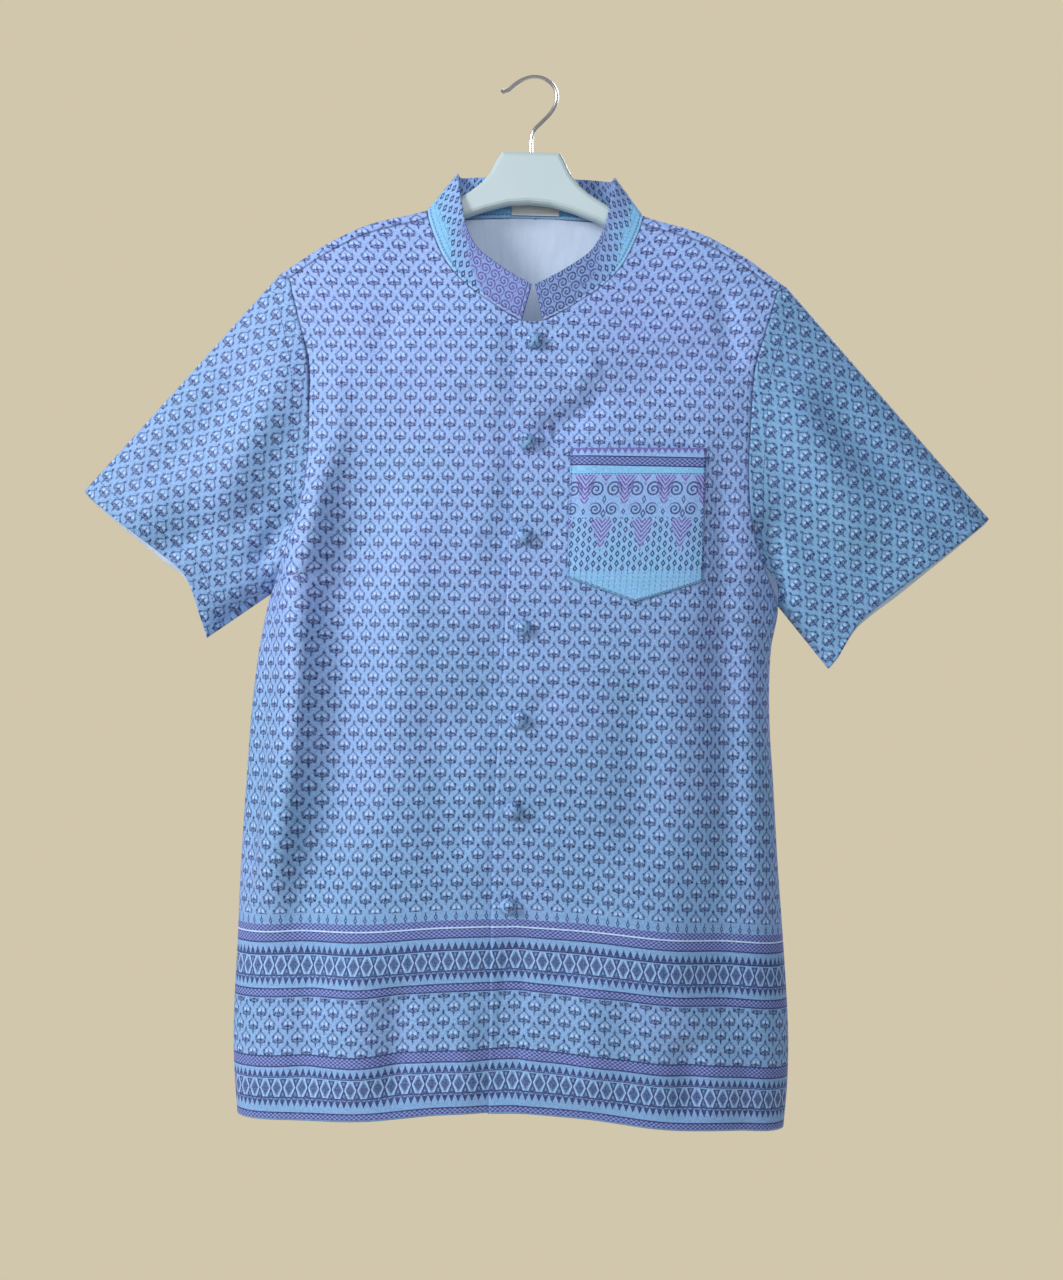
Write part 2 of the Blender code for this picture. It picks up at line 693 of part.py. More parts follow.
def neck_label(collar, finish, collection):
    """The plain label inside the collar's back, on the band's own inner points."""
    middle = collar.shape[1] // 2
    base = collar[0, middle - 1:middle + 2]
    top = collar[-1, middle - 1:middle + 2]
    columns, rows = 6, 3
    points = np.zeros((rows + 1, columns + 1, 3))
    for column in range(columns + 1):
        x = mix(-NECK_LABEL["half_width"], NECK_LABEL["half_width"], column / columns)
        for row in range(rows + 1):
            share = mix(NECK_LABEL["bottom"], NECK_LABEL["top"], row / rows)
            line = mix(base, top, share)
            order = np.argsort(line[:, 0])
            y = np.interp(x, line[order, 0], line[order, 1])
            z = np.interp(x, line[order, 0], line[order, 2])
            points[row, column] = (x, y - CLOTH - NECK_LABEL["gap"], z)
    outward = np.zeros(points.shape)
    outward[..., 1] = 1.0
    bm = bmesh.new()
    grid_faces(bm, shift_all(points), outward)
    mesh = wall_mesh("neck_label", bm, NECK_LABEL["thickness"])
    add_object("neck_label", mesh, finish, collection)


def hanger_outline():
    """The hanger's outline: up one side of the plate, out along the arms and back."""
    def arm_top(x):
        return float(ridge_z(x + SHIRT_SHIFT)) - CLOTH - HANGER_CLEARANCE

    upper = list(zip(HANGER_SHOULDER["x"], HANGER_SHOULDER["z"]))
    upper += [(x, arm_top(x)) for x in HANGER_ARM_STATIONS]
    tip_z = arm_top(HANGER_TIP_X)
    tip = [(HANGER_TIP_X + out, tip_z - down)
           for out, down in zip(HANGER_TIP["out"], HANGER_TIP["down"])]
    lower = [(x, arm_top(x) - HANGER_ARM_HEIGHT) for x in reversed(HANGER_ARM_STATIONS)]
    lower += list(zip(HANGER_ARCH["x"], HANGER_ARCH["z"]))[::-1]
    right = upper + tip + lower
    left = [(-x, z) for x, z in reversed(right[:-1])]
    return right + left


def hanger_body(finish, collection):
    """The plate and arms in one moulding, with rounded edges."""
    outline = bpy.data.curves.new("hanger_outline", "CURVE")
    outline.dimensions = "2D"
    outline.fill_mode = "BOTH"
    outline.extrude = HANGER_THICKNESS / 2
    spline = outline.splines.new("POLY")
    points = hanger_outline()
    spline.points.add(len(points) - 1)
    for point, (x, z) in zip(spline.points, points):
        point.co = (x, z, 0.0, 1.0)
    spline.use_cyclic_u = True
    guide = bpy.data.objects.new("hanger_outline", outline)
    collection.objects.link(guide)
    guide.rotation_euler = (math.pi / 2, 0.0, 0.0)
    bpy.context.view_layer.update()
    evaluated = guide.evaluated_get(bpy.context.evaluated_depsgraph_get())
    mesh = bpy.data.meshes.new_from_object(evaluated)
    mesh.transform(guide.matrix_world)
    bpy.data.objects.remove(guide)
    mesh.name = "hanger_body"
    bm = bmesh.new()
    bm.from_mesh(mesh)
    bmesh.ops.remove_doubles(bm, verts=bm.verts, dist=1e-6)
    bmesh.ops.dissolve_limit(bm, angle_limit=math.radians(1), verts=bm.verts, edges=bm.edges)
    rim = [edge for edge in bm.edges
           if sum(abs(face.normal.y) > 0.9 for face in edge.link_faces) == 1]
    bmesh.ops.bevel(bm, geom=rim, offset=HANGER_EDGE, segments=3, profile=0.5, affect="EDGES",
                    material=-1)
    bmesh.ops.recalc_face_normals(bm, faces=bm.faces)
    bm.to_mesh(mesh)
    bm.free()
    mesh.materials.clear()
    mesh.shade_smooth()
    mesh.set_sharp_from_angle(angle=math.radians(35))
    add_object("hanger_body", mesh, finish, collection)


def hanger_hook(finish, collection):
    """The wire hook, bent round from its tip and set into the plate's top."""
    wire = bpy.data.curves.new("hanger_hook", "CURVE")
    wire.dimensions = "3D"
    wire.bevel_depth = HOOK_WIRE_RADIUS
    wire.bevel_resolution = 2
    wire.use_fill_caps = True
    spline = wire.splines.new("POLY")
    spline.points.add(HOOK_STEPS)
    points = np.stack([HOOK["x"], HOOK["z"]], axis=1)
    key = share_along(points)
    for k, point in enumerate(spline.points):
        x = float(smooth(key, HOOK["x"], k / HOOK_STEPS))
        z = float(smooth(key, HOOK["z"], k / HOOK_STEPS))
        point.co = (x, 0.0, z, 1.0)
    piece = bpy.data.objects.new("hanger_hook", wire)
    collection.objects.link(piece)
    wire.materials.append(finish)


def build():
    for old in list(bpy.data.objects):
        bpy.data.objects.remove(old)
    shirt = bpy.data.collections.new("stand_collar_shirt")
    bpy.context.scene.collection.children.link(shirt)

    cotton = material("printed_cotton", (0.24, 0.45, 0.77), 0.75)
    label = material("label_satin", (0.86, 0.88, 0.86), 0.55)
    plastic = material("hanger_plastic", (0.55, 0.68, 0.71), 0.35)
    steel = material("hook_steel", (0.72, 0.74, 0.76), 0.25, 1.0)

    fronts = {side: front_panel(side) for side in (-1, 1)}
    backs = {side: back_half(side, fronts[side][-1]) for side in (-1, 1)}
    sleeves = {side: sleeve_tube(side, fronts[side], backs[side]) for side in (-1, 1)}
    collar = collar_band(fronts, backs)
    fronts = {side: shift_all(grid) for side, grid in fronts.items()}
    backs = {side: shift_all(grid) for side, grid in backs.items()}
    sleeves = {side: shift_all(grid) for side, grid in sleeves.items()}
    band = shift_all(collar)
    back_left = backs[-1][:, ::-1]

    normals = shared_normals({
        "front_left": [(fronts[-1], -1, False)],
        "front_right": [(fronts[1], 1, False)],
        "back": [(back_left, -1, False), (backs[1], -1, False)],
        "sleeve_left": [(sleeves[-1], 1, True)],
        "sleeve_right": [(sleeves[1], -1, True)],
        "collar": [(band, -1, False)]})
    front_seams = ("end", "top")
    left = cloth_piece("front_left", [(fronts[-1], front_seams, False)], normals, cotton, shirt)
    right = cloth_piece("front_right", [(fronts[1], front_seams, False)], normals, cotton, shirt)
    cloth_piece("back", [(back_left, ("start", "top"), False), (backs[1], front_seams, False)],
                normals, cotton, shirt)
    cloth_piece("sleeve_left", [(sleeves[-1], ("bottom",), True)], normals, cotton, shirt)
    cloth_piece("sleeve_right", [(sleeves[1], ("bottom",), True)], normals, cotton, shirt)
    cloth_piece("collar", [(band, ("bottom",), False)], normals, cotton, shirt)

    upper = surface_tree(right)
    pocket_piece(upper, cotton, shirt)
    button_pieces(upper, cotton, shirt)
    neck_label(collar, label, shirt)
    hanger_body(plastic, shirt)
    hanger_hook(steel, shirt)


build()
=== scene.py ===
import math

import bmesh
import bpy
import numpy as np
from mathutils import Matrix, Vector
from mathutils.bvhtree import BVHTree


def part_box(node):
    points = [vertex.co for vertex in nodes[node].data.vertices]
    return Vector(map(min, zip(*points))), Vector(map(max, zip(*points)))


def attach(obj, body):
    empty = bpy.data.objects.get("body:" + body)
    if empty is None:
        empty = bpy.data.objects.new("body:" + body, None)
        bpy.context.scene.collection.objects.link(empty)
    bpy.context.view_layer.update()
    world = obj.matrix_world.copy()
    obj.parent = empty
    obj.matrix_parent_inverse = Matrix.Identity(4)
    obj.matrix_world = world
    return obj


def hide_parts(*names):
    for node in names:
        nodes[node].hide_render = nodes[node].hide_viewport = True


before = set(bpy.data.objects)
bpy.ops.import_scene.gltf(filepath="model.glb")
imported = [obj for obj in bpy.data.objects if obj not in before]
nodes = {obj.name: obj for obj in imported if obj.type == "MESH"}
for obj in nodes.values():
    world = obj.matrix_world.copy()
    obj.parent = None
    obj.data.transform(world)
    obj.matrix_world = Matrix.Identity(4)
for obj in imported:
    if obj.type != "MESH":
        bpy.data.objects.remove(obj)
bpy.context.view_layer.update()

# Camera and light. The camera stands where the photo was taken from; a soft lamp at the
# left and a weak one in front light the shirt, and a third one its back, in a pale room.


MM = 0.001


def table(columns, *rows):
    """A short table in mm: named columns, and a row for each section, point or fold. The
    columns that are shares stay as they are."""
    return {name: np.array(column) * (1.0 if name.startswith("share") else MM)
            for name, column in zip(columns.split(), zip(*rows))}


CAMERA_AT = (0.0108, -1.300, -0.460)
CAMERA_ROLL = 0.0262    # the picture leans a little

camera_data = bpy.data.cameras.new("camera")
camera_data.sensor_fit = "VERTICAL"
camera_data.sensor_height = 36.0
camera_data.lens = 44.59
camera_data.clip_start = 0.05
camera_data.clip_end = 50.0
camera = bpy.data.objects.new("camera", camera_data)
camera.location = CAMERA_AT
camera.rotation_euler = (math.pi / 2, -CAMERA_ROLL, 0.0)
bpy.context.scene.collection.objects.link(camera)
bpy.context.scene.camera = camera

bpy.context.scene.view_settings.view_transform = "Standard"

WALL = (0.640, 0.570, 0.415)        # the pale wall that the camera sees behind the shirt
ROOM_LIGHT = (0.285, 0.285, 0.295)
world = bpy.data.worlds.new("room")
world.use_nodes = True
room = world.node_tree
sky = room.nodes["Background"]
seen = room.nodes.new("ShaderNodeLightPath")
glow = room.nodes.new("ShaderNodeMix")
glow.data_type = "RGBA"
glow.inputs[6].default_value = (*ROOM_LIGHT, 1.0)
glow.inputs[7].default_value = (*WALL, 1.0)
room.links.new(seen.outputs["Is Camera Ray"], glow.inputs[0])
room.links.new(glow.outputs[2], sky.inputs["Color"])
bpy.context.scene.world = world

LAMPS = (
    ("lamp_main", (-3.4, -2.1, 1.1), (0.0, 0.0, -0.45), 1.3, 174.0, (1.0, 0.99, 0.97)),
    ("lamp_fill", (0.1, -2.6, 0.3), (0.0, 0.0, -0.5), 1.6, 24.0, (0.95, 0.97, 1.0)),
    ("lamp_back", (1.2, 2.0, 0.8), (0.0, 0.0, -0.5), 1.5, 48.0, (1.0, 1.0, 1.0)))
for name, place, aim, size, power, colour in LAMPS:
    lamp_data = bpy.data.lights.new(name, "AREA")
    lamp_data.size = size
    lamp_data.energy = power
    lamp_data.color = colour
    lamp = bpy.data.objects.new(name, lamp_data)
    lamp.location = place
    lamp.rotation_euler = (Vector(aim) - Vector(place)).to_track_quat("-Z", "Y").to_euler()
    bpy.context.scene.collection.objects.link(lamp)

# The cloth's sizes and form, the same as in the part's source: the shirt hangs on the
# hanger's arms, and its rows and columns follow the seams.

CLOTH = 0.0007          # what shows of the cloth's thickness at an open edge
LAP_STEP = 0.0030       # the under front lies this far behind the upper one
UNDER_LAP = 0.018       # how far the under front runs past the centre line
LAP_START = 0.016       # the under front starts to step back this far before the upper edge
LAP_BLEND = 0.014       # and is behind the upper one after this much more
SHIRT_SHIFT = 0.0048    # the shirt hangs this far to the right of the hook

ARMPIT_Z = -0.427
FRONT_TOP_Z = -0.2081   # the highest row of the fronts that still reaches the placket
ROLL_END = math.radians(85)  # the shoulder seam lies this far round the shoulder's roll
FRONT_FULLNESS = 2.6    # exponents of the body's cross-sections
BACK_FULLNESS = 3.2
SHOULDER_BLEND = 0.100  # drop over which a section goes from a shoulder's to a body's

RIDGE = table(
    "x z roll",
    (0, -85, 9),
    (50, -95.5, 9),
    (89, -110.5, 9),
    (141.5, -125.5, 10.5),
    (172, -141.5, 12),
    (198, -159.5, 13.2),
    (208, -166.5, 13.8),
    (230, -184, 14))
BODY = table(
    "z left right",
    (-880, 220, 219),
    (-850, 225, 223),
    (-795, 229.3, 225.2),
    (-704, 228, 219),
    (-643, 226.7, 213),
    (-571, 224, 207),
    (-511, 220.8, 202.2),
    (-462, 215, 202.5),
    (-427, 207, 207),
    (-400, 209.5, 209.5),
    (-371, 213, 213),
    (-330, 220, 220),
    (-283, 231, 231),
    (-230, 250, 250),
    (-180, 290, 290),
    (-100, 390, 390))
HANG = table(
    "drop front back",
    (0, 0, 0),
    (10, 3.5, 2.4),
    (40, 13, 6.6),
    (80, 25, 10),
    (115, 34.5, 12),
    (190, 43.5, 15),
    (300, 49.5, 17),
    (450, 51, 18.5),
    (600, 49, 18.5),
    (800, 44, 18))
HEM = table(
    "x z",
    (0, -832),
    (60, -835.5),
    (120, -842),
    (170, -845.5),
    (210, -850),
    (240, -853))
ARMHOLE = table(
    "share x z",
    (0, 207, -427),
    (0.1, 193.5, -401),
    (0.22, 182, -370),
    (0.4, 176, -326.5),
    (0.58, 176.6, -283),
    (0.78, 180.5, -234),
    (0.9, 189, -204),
    (1, 198.5, -172))
ARMHOLE_RIDGE_X = 0.2080
FRONT_MID_SHARE = 0.74
BACK_MID_SHARE = 0.80
BACK_TOP_SHARE = 0.985
BACK_SEAM_OUT = 0.003
FRONT_TILT = 0.25
BACK_TILT = 0.35
RIDGE_NECK_X = 0.0885
NECKLINE = table(
    "x z",
    (8.3, -206.5),
    (24.6, -197.5),
    (39.9, -186.8),
    (57.1, -173.2),
    (70.8, -156.6),
    (80, -138),
    (87, -119.3))
BACK_NECKLINE = table(
    "x z",
    (0, -112),
    (28, -112.5),
    (54, -114.2),
    (74, -117),
    (87, -119.7))
COLLAR_TOP = table(
    "share x y z",
    (0, 1.2, -29, -174.8),
    (0.08, 13.8, -27.2, -167.6),
    (0.16, 29, -24.2, -157.8),
    (0.25, 45.8, -19.2, -143.7),
    (0.34, 55, -15.5, -127.2),
    (0.42, 59.4, -11.8, -109.5),
    (0.5, 62.8, -7, -91.5),
    (0.56, 64.6, 0, -79.5),
    (0.64, 63, 12, -79),
    (0.8, 40, 20.5, -76.5),
    (1, 0, 24.5, -74.5))
PLACKET_EDGE = table(
    "z x",
    (-850, -18.4),
    (-688, -20.6),
    (-616, -20.9),
    (-484, -16.8),
    (-414, -14.7),
    (-272, -13.5),
    (-208, -12.9))
CUFF = table(
    "share left_x left_z right_x right_z depth",
    (0, 260, -465.3, 249.8, -477.4, 0),
    (0.07, 262.8, -454, 254, -470, 8.5),
    (0.15, 266, -441, 259, -461, 12.5),
    (0.27, 273.5, -419.5, 268, -443, 16.5),
    (0.52, 299, -396, 311, -405, 21),
    (0.8, 337, -368, 350, -373.5, 16.5),
    (0.93, 355, -354.5, 369, -358.5, 10),
    (1, 363.7, -347.4, 378.5, -351, 0))
CUFF_BACK_DROP = 0.0065
CUFF_LINE = (0.72, -0.70)
CUFF_BACK_FLATTER = 0.85
SLEEVE_FOLD_START = 0.25

# The largest folds, as in the solids: straight lines, half width and rise.
FRONT_FOLDS = table(
    "x0 z0 x1 z1 width rise",
    (-150, -300, -176, -700, 24, -7.5),
    (156, -470, 168, -740, 24, -7.5),
    (140, -225, 30, -292, 20, -3.5),
    (-112, -640, -118, -860, 45, 6),
    (112, -680, 120, -860, 45, 6),
    (180, -770, 188, -850, 16, -5),
    (-32, -480, -36, -530, 20, -3))
BACK_FOLDS = table(
    "x0 z0 x1 z1 width rise",
    (-145, -290, -160, -780, 30, -6),
    (140, -330, 165, -800, 30, -6.5),
    (-60, -170, -85, -860, 50, 4.5),
    (70, -260, 78, -860, 50, 4.5))
SLEEVE_FOLDS = table(
    "share_round0 share_long0 share_round1 share_long1 share_width rise",
    (0.16, 0.15, 0.25, 1, 0.045, -6),
    (0.32, 0.1, 0.36, 0.95, 0.05, 5),
    (0.8, 0.1, 0.76, 0.95, 0.05, -5))

COLUMNS = 14            # the form's own faces, as in the solids
LOW_ROWS = 12
MID_ROWS = 8
ROLL_ROWS = 6
SLEEVE_ROWS = 8
COLLAR_ROWS = 4
GRAIN = 0.0028          # how far apart the shells' points are


def smooth(keys, values, at):
    """A smooth curve through points, with rising keys: cubic pieces with shared slopes."""
    at = np.asarray(at, dtype=float)
    slopes = np.gradient(values, keys, axis=0)
    place = np.clip(np.searchsorted(keys, at) - 1, 0, len(keys) - 2)
    span = keys[place + 1] - keys[place]
    t = np.clip((at - keys[place]) / span, 0.0, 1.0)
    if values.ndim > 1:
        wide = (slice(None),) + (None,) * (values.ndim - 1)
        t, span = t[wide], span[wide]
    rise = (2 * t**3 - 3 * t**2 + 1) * values[place] + (3 * t**2 - 2 * t**3) * values[place + 1]
    bend = (t**3 - 2 * t**2 + t) * slopes[place] + (t**3 - t**2) * slopes[place + 1]
    return rise + bend * span


def ease(t):
    """Goes smoothly from 0 to 1."""
    t = np.clip(t, 0.0, 1.0)
    return t * t * (3 - 2 * t)


def mix(start, end, share):
    return start + (end - start) * share


def ridge_z(x):
    return smooth(RIDGE["x"], RIDGE["z"], np.abs(x))


def roll_radius(x):
    return smooth(RIDGE["x"], RIDGE["roll"], np.abs(x))


def half_width(side, z):
    return smooth(BODY["z"], BODY["left" if side < 0 else "right"], z)


def fold_rise(folds, a, b):
    """How far the folds move a panel out at (a, b)."""
    total = np.zeros(np.shape(a))
    for a0, b0, a1, b1, width, rise in zip(*folds.values()):
        length = (a1 - a0) ** 2 + (b1 - b0) ** 2
        along = ((a - a0) * (a1 - a0) + (b - b0) * (b1 - b0)) / length
        along = np.clip(along, 0.0, 1.0)
        off = np.hypot(a - mix(a0, a1, along), b - mix(b0, b1, along))
        total = total + rise * np.exp(-(off / width) ** 2)
    return total


def cloth_depth(side, x, z, face):
    """Distance of the front or back from the hanger's plane, at a place seen from the front."""
    drop = ridge_z(x) - z
    roll = roll_radius(x)
    round_part = np.sqrt(np.clip(2 * roll * drop - drop**2, 0.0, None))
    depth = np.where(drop < roll, round_part,
                     roll + smooth(HANG["drop"], HANG[face], drop - roll))
    fullness = FRONT_FULLNESS if face == "front" else BACK_FULLNESS
    share = np.clip(np.abs(x) / half_width(side, z), 0.0, 1.0)
    closing = np.where(share > 0.9999, 0.0, np.sqrt(1.0 - share**fullness))
    folds = FRONT_FOLDS if face == "front" else BACK_FOLDS
    depth = depth + fold_rise(folds, x, z) * ease(drop / SHOULDER_BLEND)
    return depth * closing ** ease(drop / SHOULDER_BLEND)


def lap_depth(x, z):
    """How far the under front steps back to pass behind the upper one."""
    edge = smooth(PLACKET_EDGE["z"], PLACKET_EDGE["x"], z)
    return LAP_STEP * ease((x - edge + LAP_START) / LAP_BLEND)


def finish_row(side, face, x, z):
    world_x = side * x
    depth = cloth_depth(side, world_x, z, face)
    y = -depth if face == "front" else depth
    if face == "front" and side < 0:
        y = y + lap_depth(world_x, z)
    return np.stack([world_x, y, z], axis=1)


def panel_row(side, face, inner, outer, level):
    """One row of a half panel. inner and outer are its ends (x from the centre line, z);
    level goes from 0 for a level row to 1 for one that follows the shoulder's ridge."""
    place = np.linspace(0.0, 1.0, COLUMNS + 1)
    width_in = half_width(side, inner[1])
    width_out = half_width(side, outer[1])
    angle = mix(math.asin(inner[0] / width_in), math.asin(min(1.0, outer[0] / width_out)), place)
    straight = mix(inner[1], outer[1], place)
    drop = mix(ridge_z(inner[0]) - inner[1], ridge_z(outer[0]) - outer[1], place)
    z = straight
    for _ in range(4):
        x = half_width(side, z) * np.sin(angle)
        z = mix(straight, ridge_z(x) - drop, level)
    return finish_row(side, face, x, z)


def hem_row(side, face, inner_lap, share):
    """A row between the hem (share 0) and the armpit (share 1)."""
    z = np.full(COLUMNS + 1, mix(HEM["z"][0], ARMPIT_Z, share))
    place = np.linspace(0.0, 1.0, COLUMNS + 1)
    for _ in range(4):
        width = half_width(side, z)
        start = np.arcsin(inner_lap(z[0]) / width)
        x = width * np.sin(mix(start, math.pi / 2, place))
        z = mix(smooth(HEM["x"], HEM["z"], np.abs(x)), ARMPIT_Z, share)
    return finish_row(side, face, x, z)


def armhole_at(share):
    return (float(smooth(ARMHOLE["share"], ARMHOLE["x"], share)),
            float(smooth(ARMHOLE["share"], ARMHOLE["z"], share)))


def seam_z(x):
    """Height of the shoulder seam, on the front of the roll."""
    return float(ridge_z(x) - roll_radius(x) * (1 - math.cos(ROLL_END)))


def front_panel(side):
    """A front: rows from its hem to the shoulder seam, each from the placket outwards."""
    def lap(z):
        if side > 0:
            return float(smooth(PLACKET_EDGE["z"], PLACKET_EDGE["x"], z))
        return -UNDER_LAP

    rows = [hem_row(side, "front", lap, k / LOW_ROWS) for k in range(LOW_ROWS + 1)]
    for k in range(1, MID_ROWS + 1):
        up = k / MID_ROWS
        z = mix(ARMPIT_Z, FRONT_TOP_Z, up)
        outer = armhole_at(FRONT_MID_SHARE * up)
        rows.append(panel_row(side, "front", (lap(z), z), outer, FRONT_TILT * up))
    neck_rows = len(NECKLINE["x"])
    for k in range(neck_rows):
        inner = (NECKLINE["x"][k], NECKLINE["z"][k])
        outer = armhole_at(mix(FRONT_MID_SHARE, 1.0, (k + 1) / neck_rows))
        if k == neck_rows - 1:
            inner = (inner[0], seam_z(inner[0]))
            outer = (outer[0], seam_z(outer[0]))
        level = mix(FRONT_TILT, 1.0, (k + 1) / neck_rows)
        rows.append(panel_row(side, "front", inner, outer, level))
    return np.array(rows)


def back_half(side, seam):
    """Half the back: from the hem up and over the shoulder's roll to the front's seam row."""
    def centre(z):
        return 0.0

    rows = [hem_row(side, "back", centre, k / LOW_ROWS) for k in range(LOW_ROWS + 1)]
    neck_rows = len(BACK_NECKLINE["x"])
    for k in range(1, MID_ROWS + 1):
        up = k / MID_ROWS
        z = mix(ARMPIT_Z, BACK_NECKLINE["z"][0], up)
        rows.append(panel_row(side, "back", (0.0, z), armhole_at(BACK_MID_SHARE * up),
                              BACK_TILT * up))
    for k in range(1, neck_rows):
        outer = armhole_at(mix(BACK_MID_SHARE, BACK_TOP_SHARE, k / (neck_rows - 1)))
        inner = (BACK_NECKLINE["x"][k], BACK_NECKLINE["z"][k])
        outer = (outer[0] + BACK_SEAM_OUT, outer[1])
        if k == neck_rows - 1:
            inner = (inner[0], float(ridge_z(inner[0]) - roll_radius(inner[0])))
            outer = (outer[0], float(ridge_z(outer[0]) - roll_radius(outer[0])))
        level = mix(BACK_TILT, 1.0, k / (neck_rows - 1))
        rows.append(panel_row(side, "back", inner, outer, level))
    start = np.abs(rows[-1][:, 0])
    end = np.abs(seam[:, 0])
    crown = np.linspace(RIDGE_NECK_X, ARMHOLE_RIDGE_X, COLUMNS + 1)
    crown[1:-1] = 0.5 * (start + end)[1:-1]
    for k in range(1, ROLL_ROWS):
        angle = mix(-math.pi / 2, ROLL_END, k / ROLL_ROWS)
        x = mix(mix(start, end, k / ROLL_ROWS), crown, math.cos(angle))
        roll = roll_radius(x)
        z = ridge_z(x) - roll * (1 - math.cos(angle))
        rows.append(np.stack([side * x, -roll * math.sin(angle), z], axis=1))
    rows.append(seam)
    return np.array(rows)


def way_along(points):
    """Distance along a line of points, at each of them."""
    steps = np.linalg.norm(np.diff(points, axis=0), axis=1)
    return np.concatenate([[0.0], np.cumsum(steps)])


def share_along(points):
    way = way_along(points)
    return way / way[-1]


def sleeve_tube(side, front, back):
    """A sleeve: rings of points from the armhole to the cuff, each ring closed on itself."""
    front_hole = front[LOW_ROWS:, -1]
    back_hole = back[LOW_ROWS:-1, -1][::-1]
    crown = ROLL_ROWS // 2 + 1
    loop = np.concatenate([front_hole, back_hole[:-1]])
    top = len(front_hole) - 1 + (ROLL_ROWS - crown)
    up = share_along(loop[:top + 1])
    down = 1.0 - share_along(np.concatenate([loop[top:], loop[:1]]))
    half_share = np.concatenate([up, down[1:-1]])
    behind = np.arange(len(loop)) > top
    name = "left" if side < 0 else "right"
    x = smooth(CUFF["share"], CUFF[name + "_x"], half_share)
    z = smooth(CUFF["share"], CUFF[name + "_z"], half_share)
    depth = smooth(CUFF["share"], CUFF["depth"], half_share)
    drop = np.where(behind, CUFF_BACK_DROP * np.sin(math.pi * half_share) ** 0.5, 0.0)
    y = np.where(behind, CUFF_BACK_FLATTER * depth, -depth)
    cuff = np.stack([side * (x + CUFF_LINE[0] * drop), y, z + CUFF_LINE[1] * drop], axis=1)
    rings = []
    around = np.where(behind, 1.0 - 0.5 * half_share, 0.5 * half_share)
    for k in range(SLEEVE_ROWS + 1):
        share = k / SLEEVE_ROWS
        ring = mix(loop, cuff, share)
        rise = fold_rise(SLEEVE_FOLDS, around, np.full(len(loop), share))
        rise = rise * ease(share / SLEEVE_FOLD_START) * np.sin(math.pi * half_share)
        ring[:, 1] += np.where(behind, rise, -rise)
        rings.append(ring)
    return np.array(rings)


def collar_band(fronts, backs):
    """The collar: lines of points from the neck seam to its top edge, round the neck from
    the left front end to the right one."""
    halves = []
    for side in (-1, 1):
        front_neck = fronts[side][LOW_ROWS + MID_ROWS + 1:, 0]
        back_neck = backs[side][LOW_ROWS + MID_ROWS:-1, 0][::-1]
        base = np.concatenate([front_neck, back_neck])
        place = share_along(base)
        top = np.stack([smooth(COLLAR_TOP["share"], COLLAR_TOP[axis], place) for axis in "xyz"],
                       axis=1)
        top[:, 0] *= side
        halves.append((base, top))
    base = np.concatenate([halves[0][0], halves[1][0][::-1][1:]])
    top = np.concatenate([halves[0][1], halves[1][1][::-1][1:]])
    return np.array([mix(base, top, k / COLLAR_ROWS) for k in range(COLLAR_ROWS + 1)])


fronts = {side: front_panel(side) for side in (-1, 1)}
backs = {side: back_half(side, fronts[side][-1]) for side in (-1, 1)}


def row_keys(points):
    """Mean distance from each row of a grid to the next, added up."""
    steps = np.linalg.norm(np.diff(points, axis=0), axis=2).mean(axis=1)
    return np.concatenate([[0.0], np.cumsum(steps)])


def finer(points, grain, closed=False):
    """A grid's rows and columns, made finer along smooth curves through its points."""
    keys = row_keys(points)
    points = smooth(keys, points, np.linspace(0.0, keys[-1], round(keys[-1] / grain) + 1))
    across = np.swapaxes(points, 0, 1)
    if closed:
        wrap = np.concatenate([across[-3:], across, across[:4]])
        keys = row_keys(wrap)
        first, last = keys[3], keys[-4]
        at = np.linspace(first, last, round((last - first) / grain) + 1)
        return np.swapaxes(smooth(keys, wrap, at), 0, 1)
    keys = row_keys(across)
    at = np.linspace(0.0, keys[-1], round(keys[-1] / grain) + 1)
    return np.swapaxes(smooth(keys, across, at), 0, 1)


def grid_normals(points, sign, closed=False):
    """Outward directions of a fine grid at its points."""
    if closed:
        padded = np.concatenate([points[:, -2:-1], points, points[:, 1:2]], axis=1)
        across = np.gradient(padded, axis=1)[:, 1:-1]
    else:
        across = np.gradient(points, axis=1)
    along = np.gradient(points, axis=0)
    normal = sign * np.cross(across, along)
    return normal / np.maximum(np.linalg.norm(normal, axis=2, keepdims=True), 1e-9)


TAPER = 0.25            # share of a crease's length over which it fades at each end


def crease(a, b, path, width, rise):
    """A soft crease along a smooth path of points (a, b): half width and rise, which fade
    at both ends."""
    keys = way_along(path)
    dense = smooth(keys, path, np.linspace(0.0, keys[-1], 33)) if len(path) > 2 else (
        np.linspace(path[0], path[1], 33))
    nearest = np.full(a.shape, 1e9)
    where = np.zeros(a.shape)
    for k in range(len(dense) - 1):
        step = dense[k + 1] - dense[k]
        t = ((a - dense[k, 0]) * step[0] + (b - dense[k, 1]) * step[1]) / (step @ step)
        t = np.clip(t, 0.0, 1.0)
        off = np.hypot(a - dense[k, 0] - t * step[0], b - dense[k, 1] - t * step[1])
        closer = off < nearest
        nearest = np.where(closer, off, nearest)
        where = np.where(closer, (k + t) / (len(dense) - 1), where)
    ends = ease(where / TAPER) * ease((1 - where) / TAPER)
    return rise * ends * np.exp(-(nearest / width) ** 2)


def creases(rows, a, b):
    """The sum of a panel's creases, each given in mm by its path, half width and rise."""
    total = np.zeros(a.shape)
    for path, width, rise in rows:
        points = np.array(path) * MM
        reach = 4 * width * MM
        near = ((a > points[:, 0].min() - reach) & (a < points[:, 0].max() + reach)
                & (b > points[:, 1].min() - reach) & (b < points[:, 1].max() + reach))
        total[near] += crease(a[near], b[near], points, width * MM, rise * MM)
    return total


